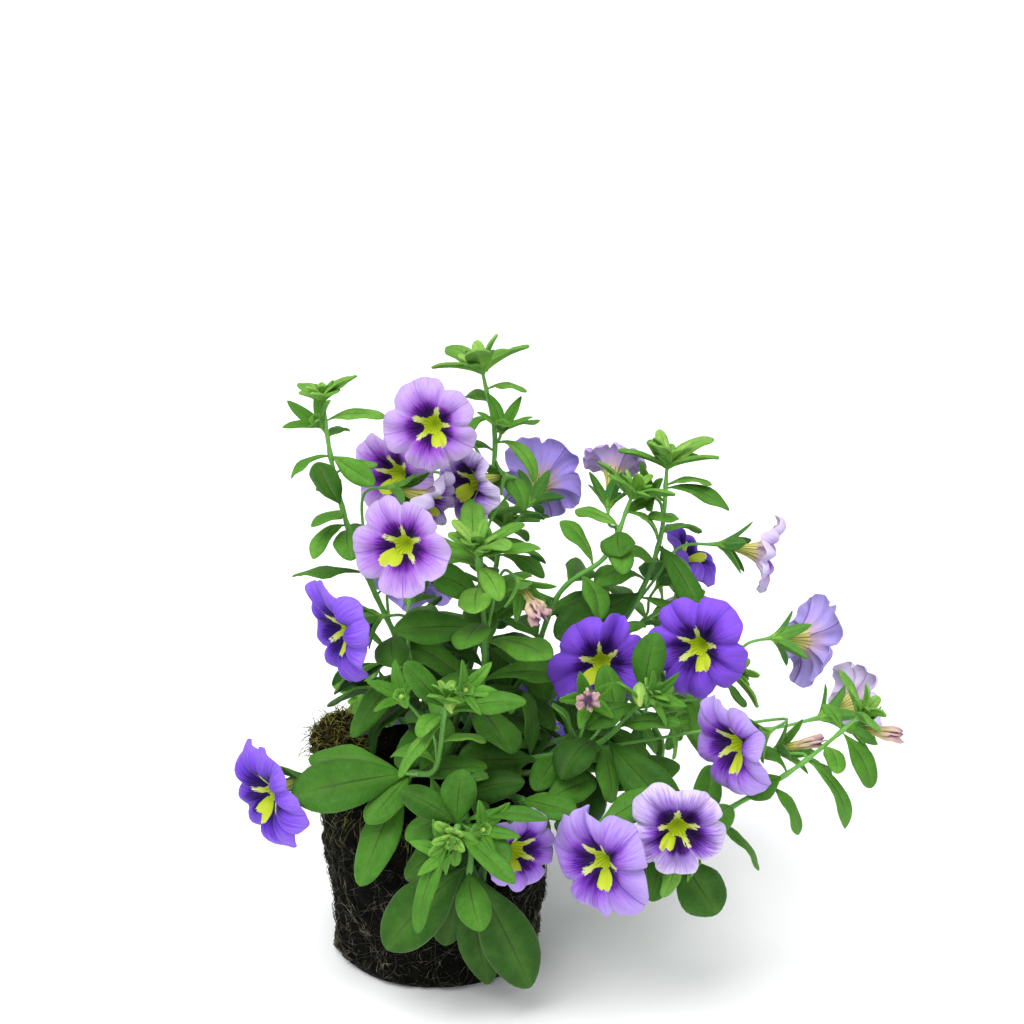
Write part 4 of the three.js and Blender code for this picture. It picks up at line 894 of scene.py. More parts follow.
def foliage(name, stops, rib, rib_share, vein_share, roughness, sheen):
    """Leaf tissue, a soft matte cuticle under short down: greens by the leaf's youth, freshest at its foot,
    cloudy at 9 mm, blotched at 3 mm and grainy at 1 mm, with a line of the rib colour along the midrib
    between paler flanks, seven faint side veins that sweep towards the tip and a paler downy edge. On the
    upper side the dark rib line is painted shade in the groove over the midrib. On both sides the paler
    flanks beside the midrib are a painted highlight, for light on the slopes of its groove."""
    material, add = started(name)
    _, u, v = pattern_of(add)
    youth, place = add("Attribute", attribute_name="youth", out=2), add("TexCoord", out=3)
    cloud, blotch, fine = (add("TexNoise", place, {"Scale": scale, "Detail": detail})
                           for scale, detail in ((110.0, 3.0), (380.0, 2.0), (1000.0, 3.0)))
    mixed = add("Math", blotch, 0.4, cloud, operation="MULTIPLY_ADD")
    mixed = add("Math", fine, 0.5, mixed, operation="MULTIPLY_ADD")
    mixed = add("MapRange", mixed, 0.65, 1.25, -0.12, 0.12)
    fresh = add("MapRange", v, 0.0, 0.5, 0.3, 0.0)
    aged = add("Math", add("Math", fresh, youth, mixed, operation="MULTIPLY_ADD"), youth)
    base = add("ValToRGB", aged, stops=stops)
    away = add("Math", add("Math", u, 0.5, operation="SUBTRACT"), operation="ABSOLUTE")
    sweep = add("Math", away, -2.1, add("Math", v, 7.0, operation="MULTIPLY"), operation="MULTIPLY_ADD")
    apart = add("Math", add("Math", sweep, operation="FRACT"), 0.5, operation="SUBTRACT")
    side = add("MapRange", add("Math", apart, operation="ABSOLUTE"), 0.0, 0.09, 1.0, 0.0, **EASED)
    middle, flank_highlight, edge = (add("MapRange", away, *reach, **EASED) for reach in (
        (0.01, 0.03, 1.0, 0.0), (0.03, 0.24, 0.07, 0.0), (0.47, 0.5, 0.0, 0.22)))
    # painted highlight: a paler green beside the midrib, for light on the slopes of its groove
    base = add("MixRGB", flank_highlight, base, "#8cb452")
    colour = add("MixRGB", add("Math", side, vein_share, operation="MULTIPLY"), base, rib)
    fading = add("MapRange", v, 0.5, 0.95, rib_share, 0.1)
    # the rib colour along the midrib: on the upper side a dark green that is painted shade in the groove
    colour = add("MixRGB", add("Math", middle, fading, operation="MULTIPLY"), colour, rib)
    colour = add("MixRGB", edge, colour, "#86b052")
    height = add("Math", side, -0.6, fine, operation="MULTIPLY_ADD")
    finished(add, colour, roughness, (height, 0.45, 0.0003), Sheen_Weight=sheen, Sheen_Roughness=0.6,
             Sheen_Tint="#cfe8a0", Specular_IOR_Level=0.16)
    return material


def stem_skin():
    """Young herbaceous stem: light green and downy, streaked along its length, paler at its foot."""
    material, add = started("green_stem")
    youth = add("Attribute", attribute_name="youth", out=2)
    streak = add("TexNoise", add("TexCoord", out=3), {"Scale": 500.0, "Detail": 2.0})
    base = add("ValToRGB", youth, stops=[(0, "#70803a"), (0.15, "#508c30"), (0.6, "#589a36"), (1, "#6eae42")])
    colour = add("MixRGB", add("MapRange", streak, {3: 0.0, 4: 0.5}), base, "#46842a")
    finished(add, colour, 0.55, (streak, 0.3, 0.0002), Sheen_Weight=0.08, Sheen_Roughness=0.6)
    return material


# petal shades: near-black heart, dark feathering, mid feathering, lobe, rim, how far the dark reaches,
# back of the limb, its veins
SHADES = {
    "violet": ("#1c0448", "#2e0c68", "#4c26a2", "#6839c2", "#8460d0", 1.0, "#8c70e6", "#5630b0"),
    "deep": ("#1e0648", "#38126e", "#5e30a6", "#7042c4", "#7c4ed0", 0.94, "#7c60d6", "#4a2aa0"),
    "lavender": ("#240644", "#481480", "#763cb0", "#9068c4", "#a48ece", 0.96, "#ab96ea", "#6c44b0"),
    "rose": ("#260640", "#541880", "#803cae", "#9c6cc6", "#b8a0d2", 0.92, "#c0a8e4", "#7c48ae"),
    "pale": ("#2c0846", "#542490", "#8a5cba", "#b498d2", "#cabede", 0.76, "#ccc0e0", "#80509a"),
    "white_rim": ("#200438", "#3c1068", "#6c38a6", "#a284c8", "#cabedc", 1.06, "#d4c8e4", "#84589e"),
    "blue": ("#1e063e", "#3e1478", "#6844b2", "#886cca", "#9c8ad0", 0.88, "#a798da", "#643a92"),
}
THREE_A_LOBE, TEN_ROUND = 18.85, 62.83  # stripes: radians of their wave for each 1 of u


def midvein(add, u, v, reach, share):
    """A lobe's vein, from share on it to 0 past the reach, in mm. Its distance in mm is x, 0 at the vein and
    1 at the notch, times the arc of half a lobe, which widens with the radius as 10.4 v + 2.2."""
    x = add("Math", add("Math", u, operation="FRACT"), 0.5, operation="SUBTRACT")
    x = add("Math", add("Math", x, operation="ABSOLUTE"), 2.0, operation="MULTIPLY")
    arc = add("Math", v, 10.4, 2.2, operation="MULTIPLY_ADD")
    off = add("Math", x, arc, operation="MULTIPLY")
    return x, add("MapRange", off, *reach, share, 0.0, **EASED)


def feathers(add, both, rays, detail, roughness):
    """Noise in streaks along a lobe: so many to a lobe, and so many along it."""
    drawn = add("VectorMath", both, (*rays, 1.0), operation="MULTIPLY")
    return drawn, add("TexNoise", drawn, {"Scale": 1.0, "Detail": detail, "Roughness": roughness})


def stripes(add, turn, reach, share):
    """Stripes where the cosine of a wave rises through the reach, up to a share."""
    return add("MapRange", add("Math", turn, operation="COSINE"), *reach, 0.0, share, **EASED)


def limb_marks(add, shade, u, v, x, vein, streak):
    """The limb's colours: the near-black heart feathers out in streaks, past it show the vein, a lighter tint
    that differs from lobe to lobe, thin drawn streaks and a cloudy lighter bloom near the rim. The lobes'
    lighter tints and the cloudy bloom are painted light, for lobes and swellings that catch the light
    unevenly."""
    heart, dark, mid, lobe, rim, far, _, vein_shade = SHADES[shade]
    rough_edge = add("MapRange", streak, 0.3, 0.7, -0.2, 0.2)
    farther = add("MapRange", v, 0.1, 0.6, 0.35, 1.0)
    rough_edge = add("Math", rough_edge, farther, operation="MULTIPLY")
    stain = add("Math", v, add("Math", x, 0.07, rough_edge, operation="MULTIPLY_ADD"))
    base = add("ValToRGB", stain, stops=[(0.0, heart), (0.22 * far, heart), (0.36 * far, dark),
                                         (0.52 * far, mid), (0.75 * far, lobe), (1.0, rim)])
    beyond = add("MapRange", v, 0.34, 0.5, **EASED)
    # painted light: each lobe is lightened towards the rim colour by its own random share, for lobes that
    # face the light differently
    own = add("TexWhiteNoise", {"W": add("Math", u, operation="FLOOR")}, noise_dimensions="1D")
    lobe_light = add("Math", add("MapRange", own, {3: 0.0, 4: 0.35}), beyond, operation="MULTIPLY")
    colour = add("MixRGB", lobe_light, base, rim)
    colour = add("MixRGB", add("Math", vein, beyond, operation="MULTIPLY"), colour, vein_shade)
    out = add("Math", add("MapRange", v, 0.4, 0.85, 0.45, 0.0), beyond, operation="MULTIPLY")
    drawn = add("MapRange", streak, 0.42, 0.7, **EASED)
    colour = add("MixRGB", add("Math", out, drawn, operation="MULTIPLY"), colour, mid)
    # painted light: cloudy lighter patches towards the rim, for the lobes' swellings catching the light
    cloud = add("TexNoise", add("TexCoord", out=3), {"Scale": 90.0, "Detail": 2.0})
    cloud = add("MapRange", cloud, 0.35, 0.7, 0.0, 0.4, **EASED)
    cloud = add("Math", cloud, add("MapRange", v, 0.45, 0.8), operation="MULTIPLY")
    return add("MixRGB", cloud, colour, rim)


def star(add, u, v, x, ragged):
    """Where the star's arms lie, over the notches. An arm's half width, as a share of half a lobe, is
    0.5 (1 - 2.3 v)^0.95, widens down the throat and is torn. The lowest arm is broader: its half width is
    0.86 (1 - (s v)^3)^0.5, with an s of 2 to 3 for each flower."""
    ahead = add("Math", add("Math", v, -2.3, 1.0, operation="MULTIPLY_ADD"), 0.0, operation="MAXIMUM")
    down = add("Math", add("Math", v, -5.0, operation="MULTIPLY"), 0.0, operation="MAXIMUM")
    width = add("Math", add("Math", ahead, 0.95, operation="POWER"), 0.5, down, operation="MULTIPLY_ADD")
    rags = add("MapRange", ragged, 0.3, 0.7, -0.14, 0.14)
    rags = add("Math", rags, add("MapRange", v, 0.3, 0.42, 1.0, 0.0), operation="MULTIPLY")
    room = add("Math", add("Math", width, rags), add("Math", 1.0, x, operation="SUBTRACT"),
               operation="SUBTRACT")
    arm = add("MapRange", room, 0.01, 0.08, **EASED)
    flower = add("Math", add("Math", u, 0.2, operation="MULTIPLY"), operation="FLOOR")
    short = add("MapRange", add("TexWhiteNoise", {"W": flower}, noise_dimensions="1D"), {3: 2.0, 4: 3.0})
    # the limb is a sixth shorter at its notches, so v is scaled there to end the arm on one radius
    notch = add("Math", add("Math", x, 8.0, operation="POWER"), -0.2, 1.0, operation="MULTIPLY_ADD")
    torn = add("MapRange", ragged, 0.3, 0.7, -0.03, 0.03)
    cube = add("Math", add("Math", v, notch, torn, operation="MULTIPLY_ADD"), short, operation="MULTIPLY")
    room = add("Math", 1.0, add("Math", cube, 3.0, operation="POWER"), operation="SUBTRACT")
    room = add("Math", add("Math", room, 0.0, operation="MAXIMUM"), 0.5, operation="POWER")
    room = add("Math", room, 0.86, add("MapRange", ragged, {3: -0.02, 4: 0.06}), operation="MULTIPLY_ADD")
    from_lowest = add("Math", add("Math", u, 2.5, operation="PINGPONG"), 2.0, operation="MULTIPLY")
    lowest = add("MapRange", add("Math", room, from_lowest, operation="SUBTRACT"), 0.0, 0.08, **EASED)
    on_limb = add("MapRange", v, -0.03, 0.02, **EASED)
    return arm, add("Math", lowest, on_limb, operation="MULTIPLY")


def petal_face(name, shade):
    """A petal's face, satin with tiny cells: a near-black heart feathers out along the lobe in radial
    streaks, a fine dark vein runs down its middle, each lobe is lighter by its own share of painted light,
    and a cream star with five ragged arms, the lowest one broad and bright and longer on some flowers,
    lies over the notches and runs down into the striped green-yellow throat."""
    material, add = started(name)
    both, u, v = pattern_of(add)
    x, vein = midvein(add, u, v, (0.06, 0.36), 0.8)
    _, ragged = feathers(add, both, (17.0, 7.0), 2.0, 0.5)
    rays, streak = feathers(add, both, (26.0, 2.2), 3.0, 0.6)
    colour = limb_marks(add, shade, u, v, x, vein, streak)
    arm, lowest = star(add, u, v, x, ragged)
    cream = add("ValToRGB", add("MapRange", v, -1.0, 0.5), stops=[
        (0.0, "#86981a"), (0.25, "#a6ba1c"), (0.56, "#b0c222"), (0.7, "#aab83e"), (0.84, "#bec47c"),
        (1.0, "#d8d2ae")])
    lines = stripes(add, add("Math", u, THREE_A_LOBE, operation="MULTIPLY"), (0.62, 1.0), 0.6)
    inside = add("MapRange", v, -0.05, 0.06, 1.0, 0.0, **EASED)
    cream = add("MixRGB", add("Math", lines, inside, operation="MULTIPLY"), cream, "#4c5a10")
    bright = add("ValToRGB", v, stops=[
        (0.0, "#9aae1c"), (0.12, "#aabc26"), (0.38, "#b6c23c"), (0.5, "#c6ca78")])
    colour = add("MixRGB", lowest, add("MixRGB", arm, colour, cream), bright)
    cells = add("TexNoise", rays, {"Scale": 3.0, "Detail": 2.0})
    finished(add, colour, 0.6, (cells, 0.1, 0.0002), Sheen_Weight=0.03, Sheen_Roughness=0.4,
             Specular_IOR_Level=0.12, Subsurface_Weight=0.05, Subsurface_Scale=0.0006)
    return material


def petal_back(name, shade):
    """A petal's back, paler and matter than its face, with a darker midvein and fine radial veins that
    turn green-yellow where the limb meets the tube."""
    back, vein_shade = SHADES[shade][-2:]
    material, add = started(name)
    both, u, v = pattern_of(add)
    _, vein = midvein(add, u, v, (0.1, 0.5), 0.75)
    _, streak = feathers(add, both, (13.0, 1.4), 3.0, 0.6)
    base = add("ValToRGB", v, stops=[(0.0, "#b9b765"), (0.12, "#bca0b4"), (0.42, back), (1.0, back)])
    colour = add("MixRGB", add("MapRange", streak, 0.45, 0.75, 0.0, 0.35), base, vein_shade)
    colour = add("MixRGB", vein, colour, vein_shade)
    finished(add, colour, 0.6, (streak, 0.25, 0.0002), Sheen_Weight=0.08, Sheen_Roughness=0.4,
             Specular_IOR_Level=0.3, Subsurface_Weight=0.08, Subsurface_Scale=0.0008)
    return material


def tube_skin():
    """The corolla's tube: downy green-yellow with three purple-brown veins to a lobe, pinker at its mouth."""
    material, add = started("petal_tube")
    _, u, v = pattern_of(add)
    base = add("ValToRGB", add("MapRange", v, -1.0, 0.0), stops=[
        (0.0, "#a8c052"), (0.5, "#c2c650"), (0.8, "#c8bc6e"), (1.0, "#c49cae")])
    wobble = add("TexNoise", add("TexCoord", out=3), {"Scale": 420.0, "Detail": 2.0})
    turn = add("Math", u, THREE_A_LOBE, operation="MULTIPLY")
    turn = add("Math", wobble, 1.5, turn, operation="MULTIPLY_ADD")
    colour = add("MixRGB", stripes(add, turn, (0.55, 0.95), 0.8), base, "#54303c")
    finished(add, colour, 0.6, (wobble, 0.3, 0.0002), Sheen_Weight=0.2, Sheen_Roughness=0.5)
    return material


def withered_skin():
    """A spent corolla, papery: a yellow-green tube with brown stripes, then a crumpled limb, cream and
    dusty pink on its folds (the youth attribute) and dark purple between them."""
    material, add = started("withered_petal")
    _, u, v = pattern_of(add)
    fold, place = add("Attribute", attribute_name="youth", out=2), add("TexCoord", out=3)
    patch = add("TexNoise", place, {"Scale": 300.0, "Detail": 4.0, "Roughness": 0.65})
    along_it = add("Math", v, add("MapRange", patch, {3: -0.12, 4: 0.12}))
    base = add("ValToRGB", along_it, stops=[
        (0.0, "#94aa3c"), (0.42, "#aeae48"), (0.54, "#c0b070"), (0.68, "#cab692"), (0.85, "#d0b2a2"),
        (0.97, "#b48e94")])
    lines = stripes(add, add("Math", u, TEN_ROUND, operation="MULTIPLY"), (0.35, 0.95), 0.75)
    fading = add("MapRange", v, 0.4, 0.6, 1.0, 0.2)
    colour = add("MixRGB", add("Math", lines, fading, operation="MULTIPLY"), base, "#5c3038")
    between = add("Math", patch, 0.5, fold, operation="MULTIPLY_ADD")
    colour = add("MixRGB", add("MapRange", between, 0.58, 0.92, 0.9, 0.0, **EASED), colour, "#5a2c5e")
    fine = add("TexNoise", place, {"Scale": 1100.0, "Detail": 3.0})
    finished(add, colour, 0.75, (fine, 0.6, 0.0004), Sheen_Weight=0.1, Sheen_Roughness=0.5,
             Specular_IOR_Level=0.25)
    return material


def bud_skin():
    """A closed bud and the small ovary of a dropped flower: fresh yellow-green, paler towards its tip,
    clouded with a darker green at 3 mm."""
    material, add = started("bud_skin")
    cloud = add("TexNoise", add("TexCoord", out=3), {"Scale": 350.0, "Detail": 3.0})
    base = add("ValToRGB", pattern_of(add)[2], stops=[(0.0, "#7fae45"), (0.5, "#98c450"), (1.0, "#c2d860")])
    colour = add("MixRGB", add("MapRange", cloud, {3: 0.0, 4: 0.5}), base, "#6d9c3c")
    finished(add, colour, 0.55, (cloud, 0.3, 0.0003), Sheen_Weight=0.25, Sheen_Roughness=0.6)
    return material


def earth(name, stops, grain, strength):
    """Damp peat and crumbs, quite without gloss: dark browns mixed at 5 mm, with paler fibres and specks
    of a millimetre."""
    material, add = started(name)
    place = add("TexCoord", out=3)
    broad, fine = (add("TexNoise", place, {"Scale": scale, "Detail": detail, "Roughness": 0.7})
                   for scale, detail in ((200.0, 6.0), (1100.0, 4.0)))
    speck = add("MapRange", add("TexVoronoi", place, {"Scale": 900.0}), 0.12, 0.22, 0.6, 0.0)
    colour = add("MixRGB", speck, add("ValToRGB", broad, stops=stops), grain)
    finished(add, colour, 0.95, (add("Math", broad, fine), strength, 0.0012), Specular_IOR_Level=0.08)
    return material


def strand_skin(name, stops, roughness):
    """Fine dry strands: their shade drifts from one to the next and along each by cloudy noise at 4 mm."""
    material, add = started(name)
    cloud = add("TexNoise", add("TexCoord", out=3), {"Scale": 240.0, "Detail": 3.0})
    finished(add, add("ValToRGB", add("MapRange", cloud, 0.3, 0.7), stops=stops), roughness,
             Specular_IOR_Level=0.3)
    return material


# ---------------------------------------------------------------- peat, roots and moss
PEAT_LUMPS = [(1.1, 6.5, 0), (0.9, 2.9, 1), (0.55, 1.3, 2)]  # height, size, seed
CLOD_LUMPS = [(1.7, 5, 3), (1.2, 2.4, 4), (0.6, 1.2, 5)]
SIDE_TOP = 77  # height where the side turns in to the rim
SIDE_ROWS, RIM_ROWS, TOP_ROWS, BALL_COLUMNS = 80, 7, 36, 220
LOW_ROOT, HIGH_ROOT, ROOT_ROUND = 1.2, 79, 47  # the heights that roots keep between, and the ball's radius
# long roots, then side roots: count, steps, length of a step, turn at it, how low they keep, radius
ROOT_SETS = [(170, 46, 1.6, 0.17, 2.5, 0.13), (360, 22, 1.4, 0.28, 1.5, 0.085)]
STUBS, STUB_STEPS, STUB_R = 900, 5, 0.09
CLOD_ROWS, CLOD_COLUMNS = 36, 90
CRUMBS = 520
STRANDS, HANGING_STRANDS, STRAND_STEPS = 480, 80, 8


def peat_place(angle, z, radius=None):
    """The ball's crumbly face: the tapered side with its slow waves, pushed in and out by three sizes of
    lumps. On top the same lumps lift the face instead. radius: a share of the side's, 1 where left out."""
    side = np.interp(z, (0, 3, SIDE_TOP, BALL_HEIGHT), (BALL_FOOT, BALL_BOTTOM - 0.4, BALL_TOP, BALL_TOP - 3))
    inner = np.ones_like(z) if radius is None else radius
    on_side = np.clip(z / 3, 0, 1) * (inner > 0.98)
    bump = on_side * (0.7 * np.sin(3 * angle + z / 17) + 0.5 * np.sin(8 * angle - z / 9))
    r = (side + bump - 0.8) * inner
    place = np.stack((r * np.cos(angle), r * np.sin(angle), z), -1)
    rough = layered_lumps(place, PEAT_LUMPS) * np.clip(z / 2, 0, 1)
    flat = np.clip((1 - inner) * 20, 0, 1)
    place[..., :2] *= (1 + (1 - flat) * rough / np.maximum(r, 1))[..., None]
    place[..., 2] += flat * rough + np.clip(z / 80 - 0.97, 0, 1) * rough * 10
    return place


def root_ball():
    """Peat from the flat underside up the side and in over the top to its middle."""
    z = np.concatenate((np.linspace(0, SIDE_TOP, SIDE_ROWS), np.linspace(77.8, BALL_HEIGHT, RIM_ROWS),
                        np.full(TOP_ROWS, float(BALL_HEIGHT))))
    inner = np.concatenate((np.ones(SIDE_ROWS + RIM_ROWS), np.linspace(0.97, 0.01, TOP_ROWS)))
    skin = Skin()
    skin.add(peat_place(*np.broadcast_arrays(even_turn(BALL_COLUMNS), z[:, None], inner[:, None])))
    return skin


def outwards(angle):
    """Level unit vectors at angles round the ball."""
    return np.stack((np.cos(angle), np.sin(angle), 0 * angle), -1)


def wandering(count, steps, pace, bend, low):
    """Root paths over the ball's face: each sets out at random, at a height that falls off as a random
    share to the power low, and turns a little at every step."""
    turn = chance.uniform(0, 2 * np.pi, (count, 1)) + np.cumsum(chance.normal(0, bend, (count, steps)), 1)
    z = BALL_HEIGHT * 0.97 * chance.uniform(0, 1, (count, 1))**low + np.cumsum(np.sin(turn), 1) * pace
    z = LOW_ROOT + np.abs(z - LOW_ROOT)
    z = np.where(z > HIGH_ROOT, 2 * HIGH_ROOT - z, z).clip(LOW_ROOT, HIGH_ROOT)
    angle = chance.uniform(0, 2 * np.pi, (count, 1)) + np.cumsum(np.cos(turn), 1) * pace / ROOT_ROUND
    lift = 0.25 + 0.55 * np.sin(np.linspace(0, 9, steps) + chance.uniform(0, 6.3, (count, 1)))
    return peat_place(angle, z) + outwards(angle) * lift[..., None], outwards(angle)


def roots():
    """Fine roots tangled over the side, and short ones that stand off it."""
    skin = Skin()
    for count, steps, pace, bend, low, thick in ROOT_SETS:
        path, out = wandering(count, steps, pace, bend, low)
        radius = thick * chance.uniform(0.7, 1.4, (count, 1)) * np.sin(np.linspace(0.25, 2.9, steps))**0.4
        skin.add(hoops(path, radius, 3, out))
    path, out = wandering(STUBS, STUB_STEPS, 0.5, 0.6, 1.0)
    t = np.linspace(-0.3, 1, STUB_STEPS)
    path = path + out * (t**2 * np.sign(t) * chance.uniform(0.6, 1.8, (STUBS, 1)))[..., None]
    radius = np.full((STUBS, 1), STUB_R) * np.linspace(1, 0.5, STUB_STEPS)
    skin.add(hoops(path, radius, 3, np.roll(out, 1, -1)))
    return skin


def clod_place(t, angle):
    """The knob's face: a dome, t from its foot to its top, pushed about by lumps. Returns the places and
    the ways out from them."""
    share = np.interp(t, (0, 0.2, 0.5, 0.8, 1), (0.93, 0.98, 0.84, 0.52, 0.02))
    z = np.interp(t, (0, 0.2, 0.5, 0.8, 1), (-0.6, 3, 0.56 * MOSS_HEIGHT, 0.84 * MOSS_HEIGHT, MOSS_HEIGHT))
    place = np.stack((MOSS_WIDE * share * np.cos(angle), MOSS_LONG * share * np.sin(angle), z), -1)
    out = unit(place + (0, 0, 0.01))
    foot = np.array((*MOSS_AT, BALL_HEIGHT + MOSS_GAP))
    return place + out * layered_lumps(place, CLOD_LUMPS)[..., None] + foot, out


def clod():
    """The knob of soil that the moss grows on."""
    skin, t = Skin(), np.linspace(0, 1, CLOD_ROWS)[:, None]
    skin.add(clod_place(*np.broadcast_arrays(t, even_turn(CLOD_COLUMNS)))[0])
    return skin


def crumbs():
    """Loose crumbs of peat on the knob and the ball's top: eight-sided lumps with uneven corners."""
    t, angle = chance.uniform(0, 1, CRUMBS), chance.uniform(0, 2 * np.pi, CRUMBS)
    r = np.sqrt(chance.uniform(0.1, 0.98, CRUMBS))
    on_top = peat_place(angle, np.full(CRUMBS, float(BALL_HEIGHT)), np.minimum(r, 0.97))
    middle = np.where((np.arange(CRUMBS) % 2 == 0)[:, None], clod_place(t, angle)[0], on_top) + UP * 0.3
    corners = np.vstack((np.eye(3), -np.eye(3)))
    size = chance.uniform(0.5, 1.3, (CRUMBS, 1, 1)) * chance.uniform(0.6, 1.25, (CRUMBS, 6, 1))
    tilt = np.linalg.qr(chance.normal(size=(CRUMBS, 3, 3)))[0]
    tilt = tilt * np.linalg.det(tilt)[:, None, None]
    skin = Skin()
    skin.add_faces(middle[:, None] + (corners @ tilt) * size, [
        (0, 1, 2), (1, 3, 2), (3, 4, 2), (4, 0, 2), (1, 0, 5), (3, 1, 5), (4, 3, 5), (0, 4, 5)])
    return skin


def strands(skin, base, way, lengths, curl, slack, radii, taper):
    """Strands from their bases along their ways, curling as the square of the reach over the slack."""
    count, t = len(base), np.linspace(-0.05, 1, STRAND_STEPS)[:, None]
    reach = chance.uniform(*lengths, (count, 1, 1)) * t
    path = base[:, None] + way[:, None] * reach + curl * reach**2 / slack
    skin.add(hoops(path, chance.uniform(*radii, (count, 1)) * np.linspace(1, taper, STRAND_STEPS), 3))


def moss_strands():
    """Wiry moss: strands that leave the knob outwards and curl over, and others that hang over the rim."""
    skin = Skin()
    t, angle = chance.uniform(0.02, 0.97, STRANDS), chance.uniform(0, 2 * np.pi, STRANDS)
    base, out = clod_place(t, angle)
    way = unit(out * 0.75 + chance.normal(0, 0.55, (STRANDS, 3)) + UP * 0.1)
    curl = chance.normal(0, 0.35, (STRANDS, 3)) - UP * 0.5
    strands(skin, base, way, (3, 8.5), curl[:, None], 9, (0.14, 0.26), 0.35)
    angle = np.radians(chance.uniform(150, 262, HANGING_STRANDS))
    base = peat_place(angle, chance.uniform(70, 80, HANGING_STRANDS))
    way = unit(outwards(angle) * 0.5 + chance.normal(0, 0.5, (HANGING_STRANDS, 3)) - UP * 0.3)
    strands(skin, base, way, (4, 10), -UP, 14, (0.12, 0.22), 0.4)
    return skin


# ---------------------------------------------------------------- down
down = Skin()
STEM_HAIRS, STALK_HAIRS, BLADE_HAIRS = 8, 110, 40  # for each step of a stem, each stalk and each blade
STEM_DOWN, STALK_DOWN, BLADE_DOWN, HAIR_THICK = 0.8, 0.7, 0.45, 0.07
HEART_RINGS = [(44, 0.86), (60, 0.64), (74, 0.44), (82, 0.3)]  # lift, size as a share of the tuft's length
HEART_RISE, HEART_SLIM = 0.9, 0.46  # from one ring to the next, and a leaf's width as a share of its length


def grow_down(roots_at, ways, length):
    """Short hairs, each a slim three-sided spike from its root along its way."""
    ways = unit(ways + 0.35 * chance.normal(size=ways.shape))
    side, up = across(ways)
    foot = roots_at[:, None] + ring_of(side, up, 3) * HAIR_THICK / 2
    tip = roots_at + ways * (length * chance.uniform(0.6, 1.3, (len(ways), 1)))
    down.add_faces(np.concatenate((foot, tip[:, None]), 1), [(0, 2, 1), (0, 1, 3), (1, 2, 3), (2, 0, 3)])


def down_on_path(path, radius, count, length):
    """Hairs that stand square to a stem at random places round it."""
    spot = chance.uniform(0, len(path) - 1.001, count)
    i, f = spot.astype(int), (spot % 1)[:, None]
    middle = path[i] * (1 - f) + path[i + 1] * f
    ahead = unit(path[i + 1] - path[i])
    side, up = across(ahead)
    a = chance.uniform(0, 2 * np.pi, (count, 1))
    out = side * np.cos(a) + up * np.sin(a)
    grow_down(middle + out * (np.asarray(radius)[i][:, None] - 0.05), out, length)


def down_on_edges(frames, curl, count, length):
    """Hairs along both edges of every blade, at random stations."""
    mid, right, upper, half, fold = frames
    blades, stations = half.shape
    at = chance.uniform(1, stations - 2.001, (blades, count))
    i, f = at.astype(int), (at % 1)[..., None]
    row = np.arange(blades)[:, None]
    side = np.where(np.arange(count) % 2, 1, -1)[:, None]
    middle = mid[row, i] * (1 - f) + mid[row, i + 1] * f
    lift = np.sin(fold[..., None]) * 0.86 - curl
    wide = (half[row, i] * (1 - f[..., 0]) + half[row, i + 1] * f[..., 0])[..., None]
    edge = middle + right[row, i] * side * wide * np.cos(fold[..., None]) + upper[row, i] * wide * lift
    way = right[row, i] * side + upper[row, i] * 0.25
    grow_down(edge.reshape(-1, 3), way.reshape(-1, 3), length)


def heart_leaves(stem):
    """The smallest leaves, which still close over a shoot's tip: four in each of four ever steeper rings."""
    if stem["crown"] == 0:
        return []
    axis, tip = heading(stem["points"], 1), along(stem["points"], 1)
    return [tongue(tip + axis * (HEART_RISE * ring - 0.5), axis, stem["leaves"][3] + SPIRAL * k,
                   lift + 16 * spread(k, 3), stem["crown"] * size * (1 + 0.3 * spread(k, 9)),
                   stem["crown"] * size * HEART_SLIM, CROWN_BEND) | dict(youth=0.74 + 0.06 * ring)
            for ring, (lift, size) in enumerate(HEART_RINGS) for k in range(4 * ring, 4 * ring + 4)]


# ---------------------------------------------------------------- dressing the plant
# the darkest stop, for the oldest leaves low on the stems, is partly their older green and partly painted
# shade for leaves that hang under the plant
upper_side = foliage("leaf_upper", [(0.0, "#204809"), (0.25, "#336415"), (0.6, "#4c8424"), (0.85, "#6ea03c"),
                                    (1.0, "#90b856")],
                     # rib: the upper side's dark midrib line, painted shade in the midrib's groove
                     rib="#123608", rib_share=0.66, vein_share=0.1, roughness=0.6, sheen=0.07)
under_side = foliage("leaf_under", [(0.0, "#2c5e2a"), (0.4, "#3e7432"), (0.75, "#5a9034"), (1.0, "#78ae3c")],
                     rib="#78a04c", rib_share=0.3, vein_share=0.08, roughness=0.65, sheen=0.03)
stem_finish, bud_finish, tube_finish, withered_finish = stem_skin(), bud_skin(), tube_skin(), withered_skin()
peat = earth("damp_peat", [(0.25, "#020201"), (0.45, "#050503"), (0.6, "#0b0b07"), (0.8, "#161610")],
             grain="#2c2d22", strength=0.8)
clod_finish = earth("mossy_crumb", [(0.25, "#0c0704"), (0.45, "#1c1107"), (0.6, "#30200f"), (0.8, "#403418")],
                    grain="#5a4a28", strength=0.9)
root_finish = strand_skin("root_fibre", [(0.0, "#14140d"), (0.5, "#39382b"), (1.0, "#807c66")], 0.8)
moss_finish = strand_skin("dry_moss", [(0.0, "#2c2c10"), (0.5, "#5c6424"), (1.0, "#a3a04c")], 0.8)
down_finish = strand_skin("plant_down", [(0.0, "#a6cc78"), (1.0, "#d2e8b4")], 0.7)

faces_of = {shade: petal_face("petal_face_" + shade, shade) for shade in SHADES}
backs_of = {shade: petal_back("petal_back_" + shade, shade) for shade in SHADES}

root_ball().piece("peat_ball", [peat], "soil", ["root_ball"])
roots().piece("fine_roots", [root_finish], "soil")
clod().piece("moss_clod", [clod_finish], "moss", ["moss"])
crumbs().piece("peat_crumbs", [clod_finish], "soil")
moss_strands().piece("moss_strands", [moss_finish], "moss")

